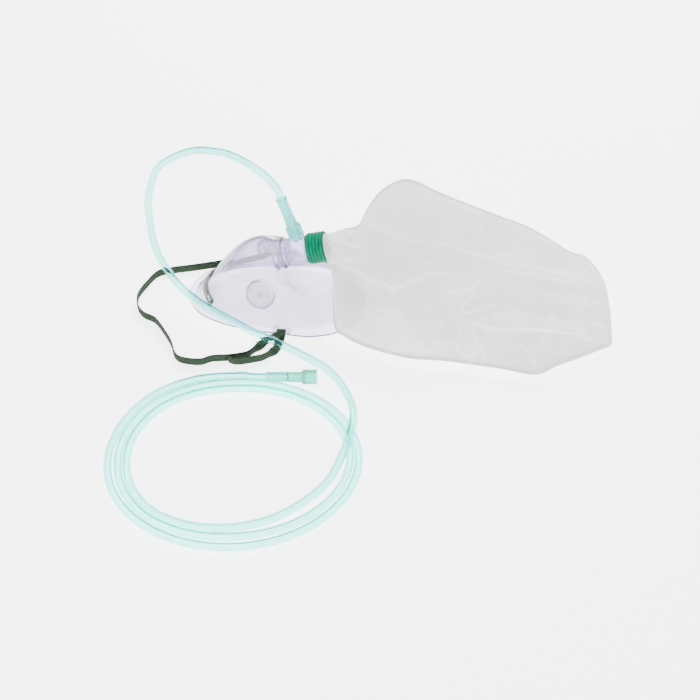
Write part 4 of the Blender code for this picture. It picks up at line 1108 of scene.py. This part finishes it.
frosted = Finish("frosted_film")
grain = frosted.noise(1800.0, 2.0)
tone = frosted.shades(frosted.noise(28.0, 5.0), FILM_TONES, (0.3, 0.7))
bend = frosted.node("TexNoise", {"Vector": frosted.place, "Scale": 16.0, "Detail": 3.0})
bend = frosted.node("VectorMath", {0: bend.outputs["Color"], "Scale": 0.05}, operation="SCALE")
bent = frosted.node("VectorMath", {0: frosted.place, 1: bend.outputs["Vector"]}, operation="ADD")
cells = frosted.node("TexVoronoi", {"Vector": bent.outputs["Vector"], "Scale": 30.0},
                     feature="DISTANCE_TO_EDGE")
lines = frosted.spread(cells.outputs["Distance"], (1.0, 0.0), (0.0, 0.05), "SMOOTHSTEP")
where = frosted.spread(frosted.noise(19.0, 2.0), (0.0, 0.55), (0.46, 0.66), "SMOOTHSTEP")
# Crest lines are partly stress-whitened film and partly painted highlight: whiter, and letting more of the
# bright table through.
crest_white_and_highlight = frosted.maths("MAXIMUM", frosted.mark("whitening_and_highlight"), frosted.maths("MULTIPLY", lines, where))
tone = frosted.mix(crest_white_and_highlight, tone, FILM_CREST_WHITE_AND_HIGHLIGHT)
film = frosted.coat({
    "Base Color": frosted.mix(frosted.mark("weld"), tone, FILM_WELD),
    "Alpha": frosted.spread(crest_white_and_highlight, (0.70, 0.44)),
    "Roughness": frosted.spread(grain, (0.33, 0.55)),
}, grain, 0.2)
add_piece("reservoir_bag", bag_mesh(250, 220), film, "reservoir_bag")

# Head strap
# A flat dark green elastic with woven ribs along it. It is threaded up through the near ear,
# lies on edge round the front of the nose, and goes down through the far ear.

STRAP_WIDTH = 0.0076
STRAP_SHEET = 0.0010
STRAP_RIBS = 7
STRAP_STEP, TURN_STEP = 0.0011, 0.0004
FLAT_NEAR, FLAT_FAR = 0.0340, 0.0200    # how far from each slot the band stands on edge
TWIST = 0.0140                          # the length over which it turns
ELASTIC_TONES = (0.010, 0.020, 0.010), (0.027, 0.048, 0.027)
STRAP_TAIL = (
    (-0.1160, -0.0608, 0.0035), (-0.1120, -0.0630, 0.0035), (-0.1075, -0.0634, 0.0035),
    (-0.1027, -0.0626, 0.0035), (-0.0955, -0.0608, 0.0035), (-0.0883, -0.0584, 0.0034),
    (-0.0815, -0.0520, 0.0030), (-0.0770, -0.0430, 0.0018),
)
STRAP_RUN = (
    (-0.0800, -0.0342, 0.0046), (-0.0868, -0.0390, 0.0040), (-0.0943, -0.0476, 0.0037),
    (-0.1005, -0.0546, 0.0036), (-0.1077, -0.0572, 0.0035), (-0.1157, -0.0588, 0.0035),
    (-0.1294, -0.0600, 0.0035), (-0.1388, -0.0640, 0.0035), (-0.1527, -0.0620, 0.0035),
    (-0.1595, -0.0560, 0.0035), (-0.1635, -0.0421, 0.0035), (-0.1710, -0.0261, 0.0035),
    (-0.1790, -0.0130, 0.0035), (-0.1890, -0.0060, 0.0035), (-0.1945, 0.0040, 0.0035),
    (-0.1955, 0.0180, 0.0035), (-0.1895, 0.0330, 0.0035), (-0.1813, 0.0468, 0.0035),
    (-0.1697, 0.0515, 0.0035), (-0.1505, 0.0555, 0.0035), (-0.1309, 0.0602, 0.0035),
    (-0.1160, 0.0645, 0.0036), (-0.0980, 0.0703, 0.0039), (-0.0830, 0.0752, 0.0043),
    (-0.0705, 0.0765, 0.0046),
)
FAR_TAIL = ((-0.0605, 0.0755, 0.0014), (-0.0565, 0.0820, 0.0012))


def strap_turn(side):
    """The strap's half turn round an ear's bar, from under it to over it."""
    radius = EAR_SHEET / 2 + GAP + STRAP_SHEET / 2
    points = [(BAR_AT + 3 * radius, EAR_HEIGHT - radius)]
    for step in range(9):
        turn = math.pi * (step / 8 - 0.5)
        points.append((BAR_AT - radius * math.cos(turn), EAR_HEIGHT + radius * math.sin(turn)))
    points.append((BAR_AT + 3 * radius, EAR_HEIGHT + radius))
    return [MASK_MATRIX @ Vector((EAR_AT, side * out, up)) for out, up in points]


def strap_section():
    """Half the band's width and sheet as a ring of corners, with seven woven ribs a face."""
    face = []
    for step in range(29):
        share = step / 28
        rib = abs(math.sin(math.pi * STRAP_RIBS * share))
        edge = min(1.0, 8 * share, 8 * (1 - share))
        thick = STRAP_SHEET * (0.30 + 0.12 * rib) * edge ** 0.5 + 0.00008
        face.append((STRAP_WIDTH * (0.5 - share), thick))
    return face + [(-wide, -thick) for wide, thick in face]


def strap_mesh():
    """The band along its line, lying flat by the ears and on edge round the nose."""
    near, far = strap_turn(-1), strap_turn(1)
    line = even_points([*STRAP_TAIL, near[0]], STRAP_STEP)[:-1]
    line += even_points(near, TURN_STEP)[:-1]
    line += even_points([near[-1], *STRAP_RUN, far[-1]], STRAP_STEP)[:-1]
    line += even_points(list(reversed(far)), TURN_STEP)[:-1]
    line += even_points([far[0], *FAR_TAIL], STRAP_STEP)
    section = strap_section()
    rings = []
    for number, middle in enumerate(line):
        forward = (line[min(len(line) - 1, number + 1)] - line[max(0, number - 1)]).normalized()
        near_slot, far_slot = (middle - near[5]).length, (middle - far[5]).length
        flat = max((FLAT_NEAR - near_slot) / TWIST, (FLAT_FAR - far_slot) / TWIST)
        flat = min(1.0, max(0.0, flat))
        flat = flat * flat * (3 - 2 * flat)
        across = (1 - flat) * Vector((0.0, 0.0, 1.0)) - flat * MASK_ALONG
        across = (across - across.dot(forward) * forward).normalized()
        outward = forward.cross(across)
        reach = (abs(across.z) * STRAP_WIDTH + abs(outward.z) * STRAP_SHEET) / 2
        middle = Vector((middle.x, middle.y, max(middle.z, reach + 0.0001)))
        rings.append(band_ring(middle, across, outward, section))
    return skin(rings, capped=True)


woven = Finish("green_elastic")
weave = woven.noise(2600.0, 2.0)
elastic = woven.coat({
    "Base Color": woven.shades(woven.noise(300.0, 3.0), ELASTIC_TONES),
    "Roughness": woven.spread(weave, (0.65, 0.95)), "Specular IOR Level": 0.15,
}, weave, 0.6, 0.0003)
add_piece("head_strap", strap_mesh(), elastic, "head_strap")
